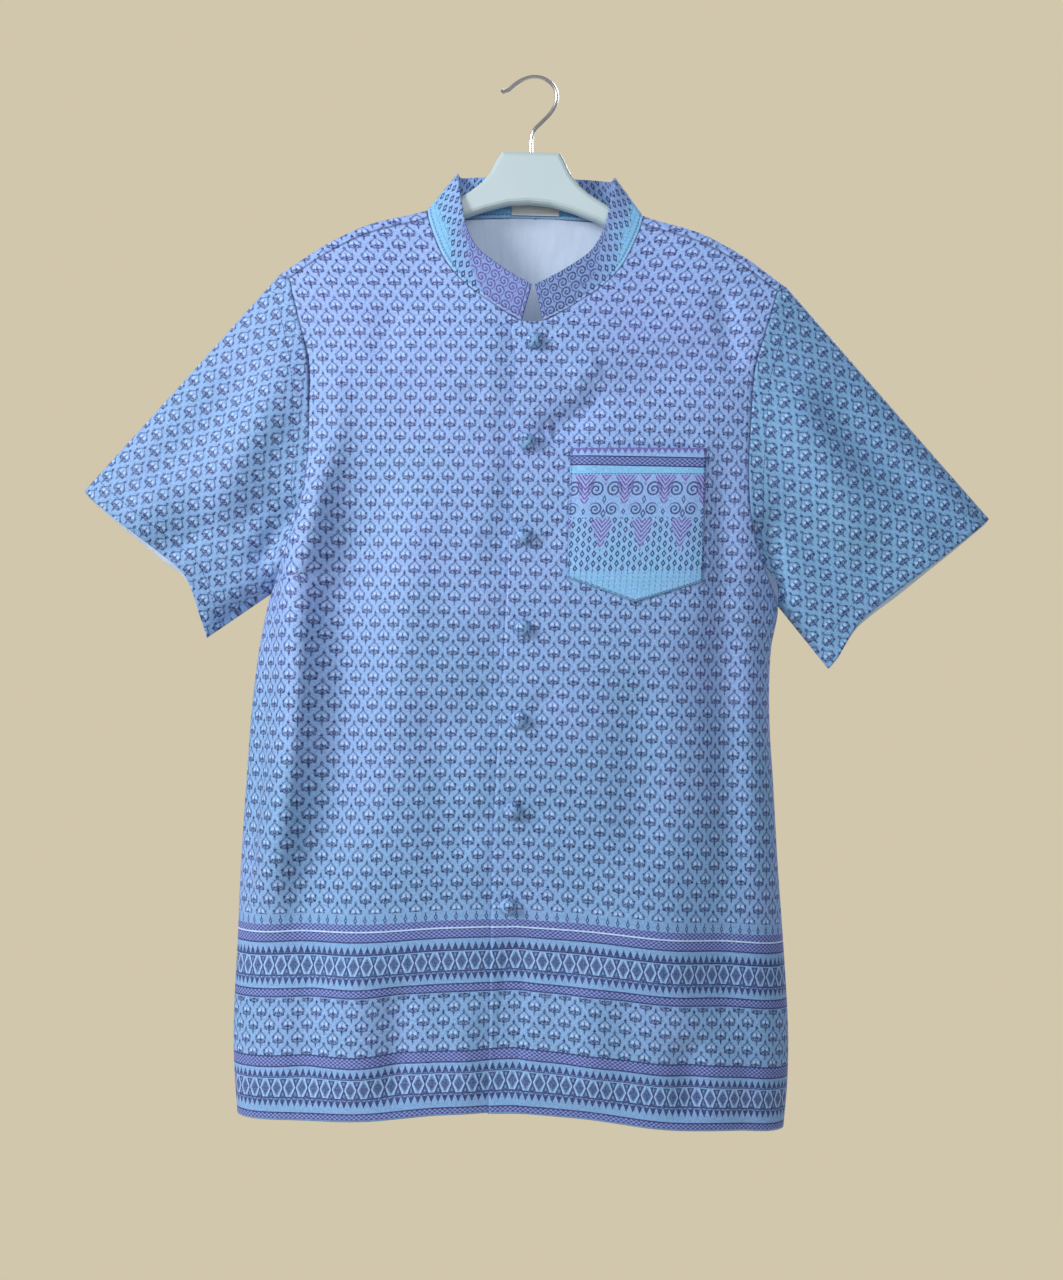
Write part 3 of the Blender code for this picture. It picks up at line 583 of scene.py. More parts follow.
def made_object(name, bm, *materials):
    """Turns a bmesh into an object of the scene."""
    mesh = bpy.data.meshes.new(name)
    bm.to_mesh(mesh)
    bm.free()
    for material in materials:
        mesh.materials.append(material)
    made = bpy.data.objects.new(name, mesh)
    bpy.context.scene.collection.objects.link(made)
    return made


def shell(name, grids, material, closed=False, thickness=CLOTH, sign=1, inner=None):
    """A thin cloth shell on fine grids, each with its flat map and its seams in metres.
    A pair of grids is a left and a right one that share the shell's centre line."""
    bm = bmesh.new()
    flat = bm.loops.layers.uv.new("flat")
    seam = bm.loops.layers.uv.new("seam")
    for number, (points, uv, seams) in enumerate(grids):
        rows, columns = points.shape[:2]
        before = set(bm.faces)
        made = bmesh.ops.create_grid(bm, x_segments=columns - 1, y_segments=rows - 1, size=1.0)
        faces = [face for face in bm.faces if face not in before]
        where = {}
        for vert in made["verts"]:
            c = round((vert.co.x + 1) / 2 * (columns - 1))
            r = round((vert.co.y + 1) / 2 * (rows - 1))
            where[vert] = (r, c)
            vert.co = Vector(points[r, c])
        for face in faces:
            face.smooth = True
            for loop in face.loops:
                place = where[loop.vert]
                loop[flat].uv = uv[place]
                loop[seam].uv = seams[place] if seams is not None else (1.0, 0.0)
        if (sign if number == len(grids) - 1 else -sign) < 0:
            bmesh.ops.reverse_faces(bm, faces=faces)
    if closed or len(grids) > 1:
        bmesh.ops.remove_doubles(bm, verts=bm.verts, dist=1e-5)
    piece = made_object(name, bm, material, *([inner] if inner else []))
    wall = piece.modifiers.new("thickness", "SOLIDIFY")
    wall.thickness = thickness
    wall.offset = -1.0
    if inner is not None:
        wall.material_offset = 1
    return piece


# Cloth finishes. The real cloth is a light cotton and silk weave with its figures woven in
# dark blue and purple: lotus buds in a half-drop, bands of teeth, hexagons and speckles above
# the hem, and a scroll border, from which the pocket and the collar are cut.

SOFT = 0.25             # mm over which a woven figure's edge fades


class Term:
    """A number in a shader's node tree, so that a pattern reads as arithmetic."""

    def __init__(self, tree, socket):
        self.tree = tree
        self.socket = socket

    def step(self, kind, *others, clamp=False):
        node = self.tree.nodes.new("ShaderNodeMath")
        node.operation = kind
        node.use_clamp = clamp
        for entry, value in zip(node.inputs, (self, *others)):
            if isinstance(value, Term):
                self.tree.links.new(value.socket, entry)
            else:
                entry.default_value = value
        return Term(self.tree, node.outputs[0])

    def __add__(self, other):
        return self.step("ADD", other)

    def __sub__(self, other):
        return self.step("SUBTRACT", other)

    def __mul__(self, other):
        return self.step("MULTIPLY", other)

    def __abs__(self):
        return self.step("ABSOLUTE")

    def __or__(self, other):
        return self.step("MAXIMUM", other)

    def __and__(self, other):
        return self.step("MINIMUM", other)

    def flip(self):
        """1 minus this."""
        return self.step("MULTIPLY_ADD", -1.0, 1.0)

    def below(self, edge, soft=SOFT):
        """1 where this is below the edge, 0 above, and a soft step between."""
        if isinstance(edge, Term):
            return (edge - self).step("MULTIPLY_ADD", 1.0 / soft, 0.5, clamp=True)
        return self.step("MULTIPLY_ADD", -1.0 / soft, edge / soft + 0.5, clamp=True)

    def above(self, edge, soft=SOFT):
        return self.step("MULTIPLY_ADD", 1.0 / soft, 0.5 - edge / soft, clamp=True)

    def within(self, low, high, soft=SOFT):
        return self.above(low, soft) & self.below(high, soft)

    def near(self, centre, half, soft=SOFT):
        return abs(self - centre).below(half, soft)

    def repeat(self, pitch, centre=0.0):
        """Distance from the nearest of a row of places a pitch apart."""
        share = (self * (1.0 / pitch) + (0.5 - centre / pitch)).step("FRACT")
        return share.step("MULTIPLY_ADD", pitch, -0.5 * pitch)


def hypot(x, y):
    return (x * x + y * y).step("SQRT")


def dot(x, y, x0, y0, radius, soft=SOFT):
    return hypot(x - x0, y - y0).below(radius, soft)


def lozenge(x, y, half_x, half_y):
    """Distance from the centre of a lozenge, 1 at its outline."""
    return abs(x) * (1 / half_x) + abs(y) * (1 / half_y)


def half_drop(across, up, pitch, drop):
    """Folds the cloth onto one repeat of a half-drop: each place belongs to the figure whose
    diamond it is in. Also gives the distance from the diamonds' edges."""
    x = across.repeat(pitch)
    y = up.repeat(drop)
    share = lozenge(x, y, pitch, drop)
    other = share.step("GREATER_THAN", 0.5)
    x = x - x.step("SIGN") * other * (pitch / 2)
    y = y - y.step("SIGN") * other * (drop / 2)
    return x, y, abs(share - 0.5)


def group(name, exits, build):
    """A node group that gives a cloth's colours at its flat coordinates in metres. Its third
    entry goes from 0 for the cloth's usual ground to 1 for a greener, darker one: the
    sleeves' teal ground, and on the right sleeve painted shade as well."""
    tree = bpy.data.node_groups.new(name, "ShaderNodeTree")
    entries = ("Across", "Up", "Teal and Shade")
    for entry in entries:
        tree.interface.new_socket(entry, in_out="INPUT", socket_type="NodeSocketFloat")
    for exit_name, kind in exits:
        tree.interface.new_socket(exit_name, in_out="OUTPUT", socket_type=kind)
    start = tree.nodes.new("NodeGroupInput")
    end = tree.nodes.new("NodeGroupOutput")
    made = build(tree, *[Term(tree, start.outputs[entry]) for entry in entries])
    for (exit_name, _), value in zip(exits, made):
        tree.links.new(getattr(value, "socket", value), end.inputs[exit_name])
    return tree


def paint(red, green, blue):
    """A colour as a screen shows it, 0 to 255, in Blender's linear light."""
    parts = [c / 255 for c in (red, green, blue)]
    return tuple(c / 12.92 if c <= 0.04045 else ((c + 0.055) / 1.055) ** 2.4 for c in parts)


def blend(tree, share, low, high, kind="MIX"):
    """Mixes two colours: each is a name in COLOURS, a tuple or a socket."""
    node = tree.nodes.new("ShaderNodeMix")
    node.data_type = "RGBA"
    node.blend_type = kind
    for entry, value in zip((node.inputs[0], *node.inputs[6:8]), (share, low, high)):
        value = COLOURS[value] if isinstance(value, str) else getattr(value, "socket", value)
        if isinstance(value, tuple):
            entry.default_value = (*value, 1.0)
        elif isinstance(value, float):
            entry.default_value = value
        else:
            tree.links.new(value, entry)
    return node.outputs[2]


def layers(tree, colour, *rows):
    """Lays colours over one another, each by its share."""
    for share, over in rows:
        colour = blend(tree, share, colour, over)
    return colour


def noise(tree, scale, detail, where, rough=0.5):
    node = tree.nodes.new("ShaderNodeTexNoise")
    node.inputs["Scale"].default_value = scale
    node.inputs["Detail"].default_value = detail
    node.inputs["Roughness"].default_value = rough
    tree.links.new(where, node.inputs["Vector"])
    return Term(tree, node.outputs[0])


def joined(tree, x, y):
    """A vector socket of two numbers."""
    node = tree.nodes.new("ShaderNodeCombineXYZ")
    tree.links.new(x.socket, node.inputs[0])
    tree.links.new(y.socket, node.inputs[1])
    return node.outputs[0]


PITCH = 15.85           # mm across the cloth from one bud to the next in its row
DROP = 21.1             # mm up the cloth from one bud to the next in its column
TOOTH = 6.6             # mm from a tooth's foot to its tip


def lotus(x, y):
    """One lotus bud, in mm from its centre: a pointed outline with a seed, on a stem.
    Gives its dark and its pale parts."""
    side = abs(x)
    ring = hypot(x * (1 / 4.4), (y + 0.7) * (1 / 3.6))
    roof = side * (1 / 4.3) + (y - 1.0) * (1 / 3.9)
    bowl = ring.near(1.0, 0.19, 0.1) & y.below(1.1)
    dome = roof.near(1.0, 0.18, 0.12) & y.above(0.7)
    finial = lozenge(x, y - 5.9, 1.3, 2.2).below(1.0, 0.3)
    corner = dot(side, y, 3.6, -3.2, 1.25) | dot(side, y, 4.3, 0.6, 1.0)
    seed = lozenge(x, y + 2.1, 1.9, 2.4).below(1.0, 0.2)
    vein = side.below(0.42) & y.within(-1.2, 1.3)
    petal = dot(side, y, 2.3, -1.9, 0.65)
    stem = dot(x, y, 0.0, -4.6, 1.05) | dot(x, y, 0.0, -6.3, 0.8) | dot(x, y, 0.0, -7.7, 0.5)
    gleam = dot(side, y, 1.7, 0.3, 1.1, 0.6)
    line = (bowl | dome | vein) * 0.78
    return line | finial | corner | seed | petal | stem, gleam


def teeth(across, rise):
    """A row of teeth, from their foot up: their dark tips, and their flared purple feet."""
    x = abs(across.repeat(PITCH / 3))
    share = (rise * (-1 / TOOTH) + 1.0).step("MAXIMUM", 0.0)
    width = share.step("POWER", 0.95) * (PITCH / 6)
    whole = x.below(width, 0.35) & rise.within(0.0, TOOTH)
    rim = abs(x - width).below(0.6)
    return whole & (rise.above(0.8, 0.5) | rim), whole & rise.below(0.8, 0.5)


def hexagons(across, y):
    """Filled diamonds in pale hexagons, with dark hourglasses between them. Gives their dark
    and pale parts."""
    x = abs(across.repeat(PITCH * 2 / 3))
    height = abs(y) * 0.88
    diamond = lozenge(x, y, 3.7, 6.2)
    rings = diamond.below(1.0, 0.1) * 0.78 | diamond.near(0.55, 0.12, 0.1) | (
        diamond.below(0.24, 0.1))
    waist = (x - PITCH / 3) * -1.0
    glass = (waist - height * 0.42).below(0.35) & height.below(6.2)
    hollow = (waist - height * 0.24).below(-0.40) & height.within(3.2, 5.4)
    outline = (x + height * 0.50).near(4.5, 0.26, 0.3) & height.below(6.2)
    return rings | (glass - hollow * 0.6), outline


BANDS = (               # mm up from the hem where each band starts, and which kind it is
    (0.0, "plain"), (0.8, "purple"), (5.4, "dark"), (6.6, "plain"), (17.2, "dark"),
    (18.3, "plain"), (33.1, "dark"), (34.2, "plain"), (41.6, "dark"), (42.7, "purple"),
    (50.2, "dark"), (51.4, "plain"), (96.3, "dark"), (97.5, "purple"), (102.7, "dark"),
    (103.9, "plain"), (112.7, "dark"), (113.8, "plain"), (128.8, "dark"), (129.9, "plain"),
    (138.7, "dark"), (139.8, "purple"), (145.4, "dark"), (146.5, "pale"), (147.6, "purple"),
    (152.8, "plain"))
BAND_KINDS = {"plain": (0, 0, 0), "dark": (1, 0, 0), "purple": (0, 1, 0), "pale": (0, 0, 1)}
BORDER_TOP = 161.0      # mm up from the hem where the field of buds starts
FIELD_ROW = 163.0       # a row of buds has its centres here
STRIP_ROW = 55.0        # and in the strip between the two borders here
UP_TEETH = (34.0, 129.7)
DOWN_TEETH = (17.3, 112.8)
HEXAGONS = (25.7, 121.3)
HEXAGONS_HALF = 7.3
PODS = 156.0            # a row of small pods above the border


def bands(tree, up):
    """The hem's lines and bands: how dark, how purple and how pale each height is."""
    ramp = tree.nodes.new("ShaderNodeValToRGB")
    ramp.color_ramp.interpolation = "CONSTANT"
    stops = ramp.color_ramp.elements
    span = BANDS[-1][0] + 1.0
    for number, (start, kind) in enumerate(BANDS):
        stop = stops[number] if number < 2 else stops.new(start / span)
        stop.position = start / span
        stop.color = (*BAND_KINDS[kind], 1.0)
    tree.links.new((up * (1 / span)).socket, ramp.inputs[0])
    parts = tree.nodes.new("ShaderNodeSeparateColor")
    tree.links.new(ramp.outputs[0], parts.inputs[0])
    inside = up.above(0.0, 0.1)
    return [Term(tree, parts.outputs[k]) & inside for k in range(3)]


COLOURS = {
    "ground": paint(136, 173, 226), "border_ground": paint(118, 159, 207),
    "upper_ground": paint(148, 172, 234), "teal_and_shade_ground": paint(106, 157, 198),
    "scroll_ground": paint(126, 186, 230),
    "navy": paint(24, 34, 86), "violet": paint(58, 48, 120), "purple": paint(56, 68, 136),
    "speckle": paint(124, 142, 200),
    # the bands' dark ink is also the colour of the painted shade along seams and edges
    "pale": paint(182, 208, 246), "dark_ink_and_shade": paint(30, 38, 98),
    "shade": paint(112, 136, 184), "rose": paint(176, 140, 214), "rose_ink": paint(88, 60, 144)}


def threads(tree, colour, place):
    """Mottles a colour as uneven threads do."""
    fine = noise(tree, 560.0, 1.5, place, 0.6)
    shade = fine.step("MULTIPLY_ADD", 0.9, 0.55)
    return blend(tree, 1.0, colour, shade, "MULTIPLY")


def broken(tree, place):
    """How much of a woven figure shows, so that its outline breaks up into dots."""
    return noise(tree, 760.0, 0.0, place).step("MULTIPLY_ADD", 4.0, -1.45, clamp=True)


def speckles(u, v):
    """Fine speckled rows, in mm: light grains set between each other."""
    across = (u * (2 * math.pi / (PITCH / 4))).step("SINE")
    up = (v * (2 * math.pi / 2.9)).step("SINE")
    return (across * up).above(0.0, 0.6)


def printed_colour(tree, across, up, teal_and_shade):
    """The body's cloth: its colours, and how much each place is figure."""
    u = across * 1000.0
    v = up * 1000.0
    low = v.step("LESS_THAN", 120.0)
    row = v - FIELD_ROW + low * (FIELD_ROW - STRIP_ROW)
    x, y, edge = half_drop(u + low * (PITCH / 2), row, PITCH, DROP)
    bud, gleam = lotus(x, y)
    open_field = v.above(BORDER_TOP, 0.2) | v.within(51.5, 96.2, 0.2)
    dark, purple, pale = bands(tree, v)
    rises = [v - foot for foot in UP_TEETH] + [(v - foot) * -1.0 for foot in DOWN_TEETH]
    tips, feet = zip(*(teeth(u, rise) for rise in rises))
    tips = tips[0] | tips[1] | tips[2] | tips[3]
    feet = feet[0] | feet[1] | feet[2] | feet[3]
    glyph, outline = hexagons(u, v - HEXAGONS[0] - v.step("GREATER_THAN", 75.0)
                              * (HEXAGONS[1] - HEXAGONS[0]))
    zone = v.near(HEXAGONS[0], HEXAGONS_HALF) | v.near(HEXAGONS[1], HEXAGONS_HALF)
    half = u.repeat(PITCH / 2)
    pod = lozenge(half, v - PODS, 1.35, 2.8).near(0.8, 0.32, 0.2) | (
        abs(half).below(0.4) & v.within(158.4, 160.0))

    place = joined(tree, across, up)
    broad = noise(tree, 9.0, 2.0, place)
    high = up.step("MULTIPLY_ADD", 1 / 0.40, -0.24 / 0.40, clamp=True)
    tint = (high * 0.6 + (broad - 0.5) * 1.8).step("ADD", 0.05, clamp=True)
    lattice = edge.below(0.03, 0.04)
    band = blend(tree, speckles(u, v), "purple", "speckle")
    ink = blend(tree, tint * 0.8, "navy", "violet")
    show = broken(tree, place)
    bud = bud & open_field
    colour = layers(
        tree, "border_ground", (high, "ground"), (tint * 0.8, "upper_ground"),
        (teal_and_shade, "teal_and_shade_ground"), ((gleam * 0.6 | lattice * 0.1) & open_field, "pale"),
        ((outline & zone) * 0.8, "pale"), (purple | (feet * 0.8), band), (pale * 0.9, "pale"),
        (bud * (show * 0.5 + 0.5), ink), ((glyph & zone) * (show * 0.25 + 0.7), "dark_ink_and_shade"),
        ((dark | tips | pod) * (show * 0.2 + 0.78), "dark_ink_and_shade"))
    return threads(tree, colour, place), bud | dark | tips | purple


SCROLL_PITCH = 31.4     # mm from one pair of scrolls to the next
SCROLL_AXIS = 7.9       # mm from the pocket's centre line to a pair's axis
SCROLL_LEAN = 0.07
POCKET_HALF = 54.0
BAND_SLOPE = 0.02       # the pocket's band runs down this much per mm
SMALL_PITCH = 9.2       # of the small lozenges' half-drop
SMALL_DROP = 7.6


def spiral(x, y, radius, gap):
    """A scroll that winds out from its centre, in mm."""
    far = hypot(x, y)
    turn = y.step("ARCTAN2", x) * (1 / (2 * math.pi))
    return ((far * (1 / gap) - turn).repeat(1.0) * gap).near(0.0, 0.72, 0.3) & far.below(radius)


def chevrons(x, y, gap):
    """Rows of V shapes one inside another."""
    return (y + abs(x) * 1.3).repeat(gap).near(0.0, gap * 0.25, 0.4)


def small_lozenges(u, v):
    x, y, _ = half_drop(u, v, SMALL_PITCH, SMALL_DROP)
    share = lozenge(x, y, 1.8, 3.0)
    return share.within(0.42, 1.05, 0.2)


def threads_down(u, v):
    """Fine broken upright lines."""
    return abs(u.repeat(SMALL_PITCH / 2)).below(0.35, 0.3) & abs(v.repeat(3.4)).below(1.1, 0.5)


def pocket_colour(tree, across, down, teal_and_shade):
    """The pocket's cloth, from its mouth down: a band, scrolls, hearts and lozenges."""
    place = joined(tree, across, down)
    u = across * 1000.0
    v = down * 1000.0
    level = v - (u + POCKET_HALF) * BAND_SLOPE
    purple = level.within(6.6, 12.6)
    tip, foot = teeth(u, v * 1.5 - 0.6)
    fringe = tip | foot | v.below(0.9)
    dark = level.within(5.6, 6.6) | level.within(12.6, 13.6)
    leaning = u + v * SCROLL_LEAN
    axis = abs(leaning.repeat(SCROLL_PITCH, SCROLL_AXIS))
    between = abs(leaning.repeat(SCROLL_PITCH, SCROLL_AXIS - SCROLL_PITCH / 2))
    scrolls = spiral(axis - 7.0, v - 33.0, 6.6, 3.3) | spiral(axis - 6.6, v - 48.5, 5.2, 2.9)
    stalk = lozenge(axis, v - 41.0, 1.5, 3.4).near(0.8, 0.3, 0.2) | (
        lozenge(axis, v - 52.0, 2.0, 3.6).near(0.8, 0.3, 0.2))
    hanging = (between - (v * -0.28 + 14.5)).below(0.0) & v.within(21.5, 44.0)
    small_v = (axis - (v * -0.5 + 15.0)).below(0.0) & v.within(21.5, 30.0)
    heart = (axis - (v * -0.36 + 29.6)).below(0.0) & v.within(60.0, 82.0) | (
        dot(axis, v, 3.6, 59.5, 4.0))
    vees = (hanging & chevrons(between, v, 3.7)) | (
        (small_v | heart) & chevrons(axis, v, 3.7))
    far_off = (heart | hanging).flip() & axis.above(2.0)
    beads = small_lozenges(leaning, v) & far_off & v.within(55.0, 97.0) | (
        lozenge(between, v.repeat(7.2), 1.5, 2.6).near(0.75, 0.3) & v.within(46.0, 56.0))
    beads = beads | (small_lozenges(leaning, v) & v.within(83.0, 97.0))
    lines = threads_down(leaning, v) & v.within(92.0, 112.0, 8.0)
    hem = v.near(20.6, 0.4, 0.3) & abs(u.repeat(2.6)).below(0.85, 0.3)

    tint = noise(tree, 40.0, 2.0, place).step("MULTIPLY_ADD", 2.0, -0.6, clamp=True)
    lower = v.step("MULTIPLY_ADD", 1 / 60, -40 / 60, clamp=True)
    band = blend(tree, speckles(u, v), "purple", "speckle")
    ink = blend(tree, tint * 0.5, "navy", "violet")
    show = broken(tree, place)
    colour = layers(
        tree, "ground", (lower, "scroll_ground"), (v.within(13.6, 20.4), "scroll_ground"),
        (tint * 0.35 & v.above(22.0), "upper_ground"), (purple, band),
        (fringe * 0.8, "rose_ink"), ((hanging | small_v | heart) * 0.2, "rose"),
        (vees * (show * 0.3 + 0.65), "rose_ink"),
        ((scrolls | stalk) * (show * 0.25 + 0.7), ink), (beads * (show * 0.2 + 0.8), ink),
        (lines * 0.5, "navy"), (dark | (hem * 0.8), "dark_ink_and_shade"))
    return threads(tree, colour, place), vees | scrolls | beads | dark


COLLAR_HALF = 196.0     # mm from the back's centre to each front end
COLLAR_HEIGHT = 38.0


def collar_colour(tree, across, up, teal_and_shade):
    """The collar's cloth: scrolls at its front ends, then lozenges, then plain ground."""
    place = joined(tree, across, up)
    u = across * 1000.0
    v = up * 1000.0
    along = (abs(u) - COLLAR_HALF) * -1.0
    below_top = (v - COLLAR_HEIGHT) * -1.0
    zone = (along * 0.30).step("MINIMUM", 15.0) + below_top * 0.62
    zone = zone + (noise(tree, 60.0, 1.0, place) - 0.5) * 14.0
    ends = zone.below(17.0, 3.0) & along.below(40.0, 12.0)
    beads = small_lozenges(u * 0.74, v * 0.78) & zone.within(8.0, 30.0, 3.0) & ends.flip()
    lines = threads_down(v, u) & zone.within(26.0, 40.0, 6.0)
    fret = spiral(along.repeat(9.4), v.repeat(8.8, 5.0), 5.0, 3.1)
    tint = noise(tree, 26.0, 2.0, place).step("MULTIPLY_ADD", 2.0, -0.55, clamp=True)
    ink = blend(tree, tint * 0.8, "navy", "violet")
    fret_ink = blend(tree, u.above(0.0), "rose_ink", "navy")
    show = broken(tree, place)
    colour = layers(
        tree, "ground", (zone.above(26.0, 12.0), "scroll_ground"), (teal_and_shade * 0.5, "teal_and_shade_ground"),
        # painted shade: the ground of the collar's right end is darkened
        (ends * 0.6, "speckle"), (u.above(0.0) * zone.below(26.0, 10.0) * 0.6, "shade"),
        # painted highlight: a pale line along the collar's lower edge, on the seam's ridge
        (v.below(2.2, 0.8) * 0.3, "pale"), ((ends & fret) * (show * 0.35 + 0.6), fret_ink),
        (beads * (show * 0.2 + 0.8), ink), (lines * 0.45, "navy"))
    return threads(tree, colour, place), beads | lines


EXITS = (("Color", "NodeSocketColor"), ("Figure", "NodeSocketFloat"))
body_print = group("printed_cloth", EXITS, printed_colour)
pocket_print = group("scroll_border", EXITS, pocket_colour)
collar_print = group("collar_border", EXITS, collar_colour)


def uv_parts(tree, name):
    """The two coordinates of a UV map."""
    source = tree.nodes.new("ShaderNodeUVMap")
    source.uv_map = name
    parts = tree.nodes.new("ShaderNodeSeparateXYZ")
    tree.links.new(source.outputs[0], parts.inputs[0])
    return Term(tree, parts.outputs[0]), Term(tree, parts.outputs[1])


def new_finish(name):
    finish = bpy.data.materials.new(name)
    finish.use_nodes = True
    tree = finish.node_tree
    return finish, tree, tree.nodes["Principled BSDF"]


def add_bump(tree, shader, height, strength, distance):
    bump = tree.nodes.new("ShaderNodeBump")
    bump.inputs["Strength"].default_value = strength
    bump.inputs["Distance"].default_value = distance
    tree.links.new(height.socket, bump.inputs["Height"])
    tree.links.new(bump.outputs[0], shader.inputs["Normal"])


THREAD = 0.0007         # m from one thread to the next, as far as it shows


def woven(across, up):
    """The height of a plain weave's threads."""
    return (((across * (2 * math.pi / THREAD)).step("SINE"))
            * ((up * (2 * math.pi / THREAD)).step("SINE")))


def cloth_finish(name, source, teal_and_shade=0.0, shift_across=0.0, shift_up=0.0, stitch=None):
    """A printed cloth's material, on the flat map. Painted shade darkens a thin line along its
    seams and open edges, and a row of stitches runs that many mm in from them."""
    finish, tree, shader = new_finish(name)
    across, up = uv_parts(tree, "flat")
    across = across + shift_across
    up = up + shift_up
    print_node = tree.nodes.new("ShaderNodeGroup")
    print_node.node_tree = source
    tree.links.new(across.socket, print_node.inputs["Across"])
    tree.links.new(up.socket, print_node.inputs["Up"])
    print_node.inputs["Teal and Shade"].default_value = teal_and_shade
    figure = Term(tree, print_node.outputs["Figure"])
    edge, run = uv_parts(tree, "seam")
    edge = edge * 1000.0
    # painted shade: a dark line along seams and open edges; on the buttons it darkens the rims
    stitches_and_edge_shade = edge.below(0.7, 0.9) * 0.5
    if stitch is not None:
        row = edge.near(stitch, 0.42, 0.3) & abs((run * 1000.0).repeat(3.1)).below(1.0, 0.3)
        stitches_and_edge_shade = stitches_and_edge_shade | (row * 0.75)
    colour = blend(tree, stitches_and_edge_shade, print_node.outputs["Color"], "dark_ink_and_shade")
    tree.links.new(colour, shader.inputs["Base Color"])
    add_bump(tree, shader, woven(across, up) * 0.25 + figure * 0.5 - stitches_and_edge_shade * 1.2, 0.4, 0.0003)
    rough = figure.step("MULTIPLY_ADD", -0.12, 0.66)
    tree.links.new(rough.socket, shader.inputs["Roughness"])
    shader.inputs["Sheen Weight"].default_value = 0.22
    shader.inputs["Sheen Roughness"].default_value = 0.4
    shader.inputs["Sheen Tint"].default_value = (*paint(200, 196, 255), 1.0)
    shader.inputs["Specular IOR Level"].default_value = 0.35
    return finish


PAINTED_GLOW = 0.16    # painted glow: the inside gives off a little light, for daylight through the thin cloth


def lining_finish(name, low, high):
    """The cloth's wrong side: pale, with its weave and a little slub, and a painted glow."""
    finish, tree, shader = new_finish(name)
    across, up = uv_parts(tree, "flat")
    slub = noise(tree, 160.0, 3.0, joined(tree, across, up * 0.25), 0.7)
    colour = blend(tree, slub, low, high)
    tree.links.new(colour, shader.inputs["Base Color"])
    rough = slub.step("MULTIPLY_ADD", 0.15, 0.7)
    tree.links.new(rough.socket, shader.inputs["Roughness"])
    add_bump(tree, shader, woven(across, up) * 0.5 + slub, 0.3, 0.0003)
    # painted glow: the inside's own colour is given off as light
    tree.links.new(colour, shader.inputs["Emission Color"])
    shader.inputs["Emission Strength"].default_value = PAINTED_GLOW
    return finish


cloth = cloth_finish("printed_cloth_body", body_print)
sleeve_cloth = {
    -1: cloth_finish("printed_cloth_sleeve_left", body_print, 0.3, 0.0, 0.60, 16.0),
    # painted shade: the right sleeve takes more of the darker ground, facing away from the lamp
    1: cloth_finish("printed_cloth_sleeve_right", body_print, 0.8, 0.0, 0.60, 16.0)}
pocket_cloth = cloth_finish("printed_cloth_pocket", pocket_print, stitch=1.5)
collar_cloth = cloth_finish("printed_cloth_collar", collar_print, stitch=3.6)
lining = lining_finish("cloth_inside", paint(160, 178, 200), paint(190, 204, 224))


# Fronts. Two panels of the printed cloth, cut with the hem's bands along their lower edge
# and sewn to the back at the sides and shoulders. The wearer's left one laps over the other.

FRONT_CREASES = {
    -1: (
        (((-98, -260), (-114, -320), (-122, -365), (-134, -430),
          (-134, -490), (-138, -555), (-144, -618), (-152, -690)),
         26, -5.5),
        (((-150, -262), (-160, -320), (-166, -365), (-174, -410),
          (-175, -460), (-174, -500), (-177, -555), (-182, -600),
          (-190, -650), (-197, -730)), 18, 21.5),
        (((-206, -465), (-210, -562), (-212, -690)), 7, -2.4),
        (((-160, -690), (-164, -752), (-168, -838)), 14, -4.4),
        (((-71, -501), (-64, -540), (-55, -650)), 20, -3.6),
        (((-84, -330), (-90, -430), (-100, -560)), 18, 2.6),
        (((-34, -499), (-18, -509)), 6, -2),
        (((-40, -380), (-12, -386)), 6, -1.5),
        (((-46, -300), (-14, -306)), 6, -1.3),
        (((-58, -258), (-36, -276), (-12, -296)), 9, -1.8),
        (((-50, -450), (-30, -459), (-13, -470)), 7, -1.8),
        (((-48, -640), (-36, -606), (-16, -594)), 8, -1.6),
        (((-89, -722), (-91, -838)), 14, -5.2),
        (((-126, -700), (-122, -838)), 17, 3.6),
        (((-40, -740), (-36, -834)), 14, 3),
        (((-110, -190), (-122, -248)), 12, -2.4),
        (((-160, -235), (-150, -290), (-152, -350)), 10, 2.2)),
    1: (
        (((150, -290), (155, -393), (163, -503), (171, -622),
          (179, -685)), 14, -5.6),
        (((139, -275), (141, -340), (147, -430)), 9, 1.8),
        (((64, -262), (36, -283), (4, -303)), 10, -4.6),
        (((56, -240), (30, -254)), 10, 3),
        (((21, -212), (4, -226)), 6, -1.6),
        (((26, -378), (4, -384)), 6, -1.4),
        (((30, -498), (6, -518)), 8, -1.8),
        (((28, -592), (4, -600)), 7, -1.4),
        (((91, -470), (96, -646)), 22, -4),
        (((3, -680), (-2, -751), (-5, -830)), 13, -4.6),
        (((59, -711), (63, -832)), 20, 4.8),
        (((139, -764), (143, -838)), 15, -5.2),
        (((150, -165), (158, -205), (163, -250)), 10, -3.4))}

DROOP_REACH = 0.45      # the bands droop with the hem, and rows of buds above do so less
SPREAD = 9.5            # the columns of buds fan out over the shoulders
SPREAD_FROM = -0.270
UNSEWN = 0.05           # a seam distance that is out of reach of any stitch


def body_uv(points):
    """The flat cloth's coordinates: across from the centre line, and up from the hem."""
    steps = np.hypot(np.diff(points[..., 0], axis=1), np.diff(points[..., 1], axis=1))
    across = np.concatenate([np.zeros((len(points), 1)), np.cumsum(steps, axis=1)], axis=1)
    side = np.sign(points[:, -1:, 0].mean())
    across = side * across + points[:, :1, 0]
    z = points[..., 2]
    hem = smooth(HEM["x"], HEM["z"], np.abs(points[..., 0]))
    up = z - HEM["z"][0]
    droop = (hem - HEM["z"][0]) * ease(1 - up / DROOP_REACH)
    spread = 1 + SPREAD * np.clip(z - SPREAD_FROM, 0.0, None) ** 2
    return np.stack([across / spread, up - droop], axis=2)


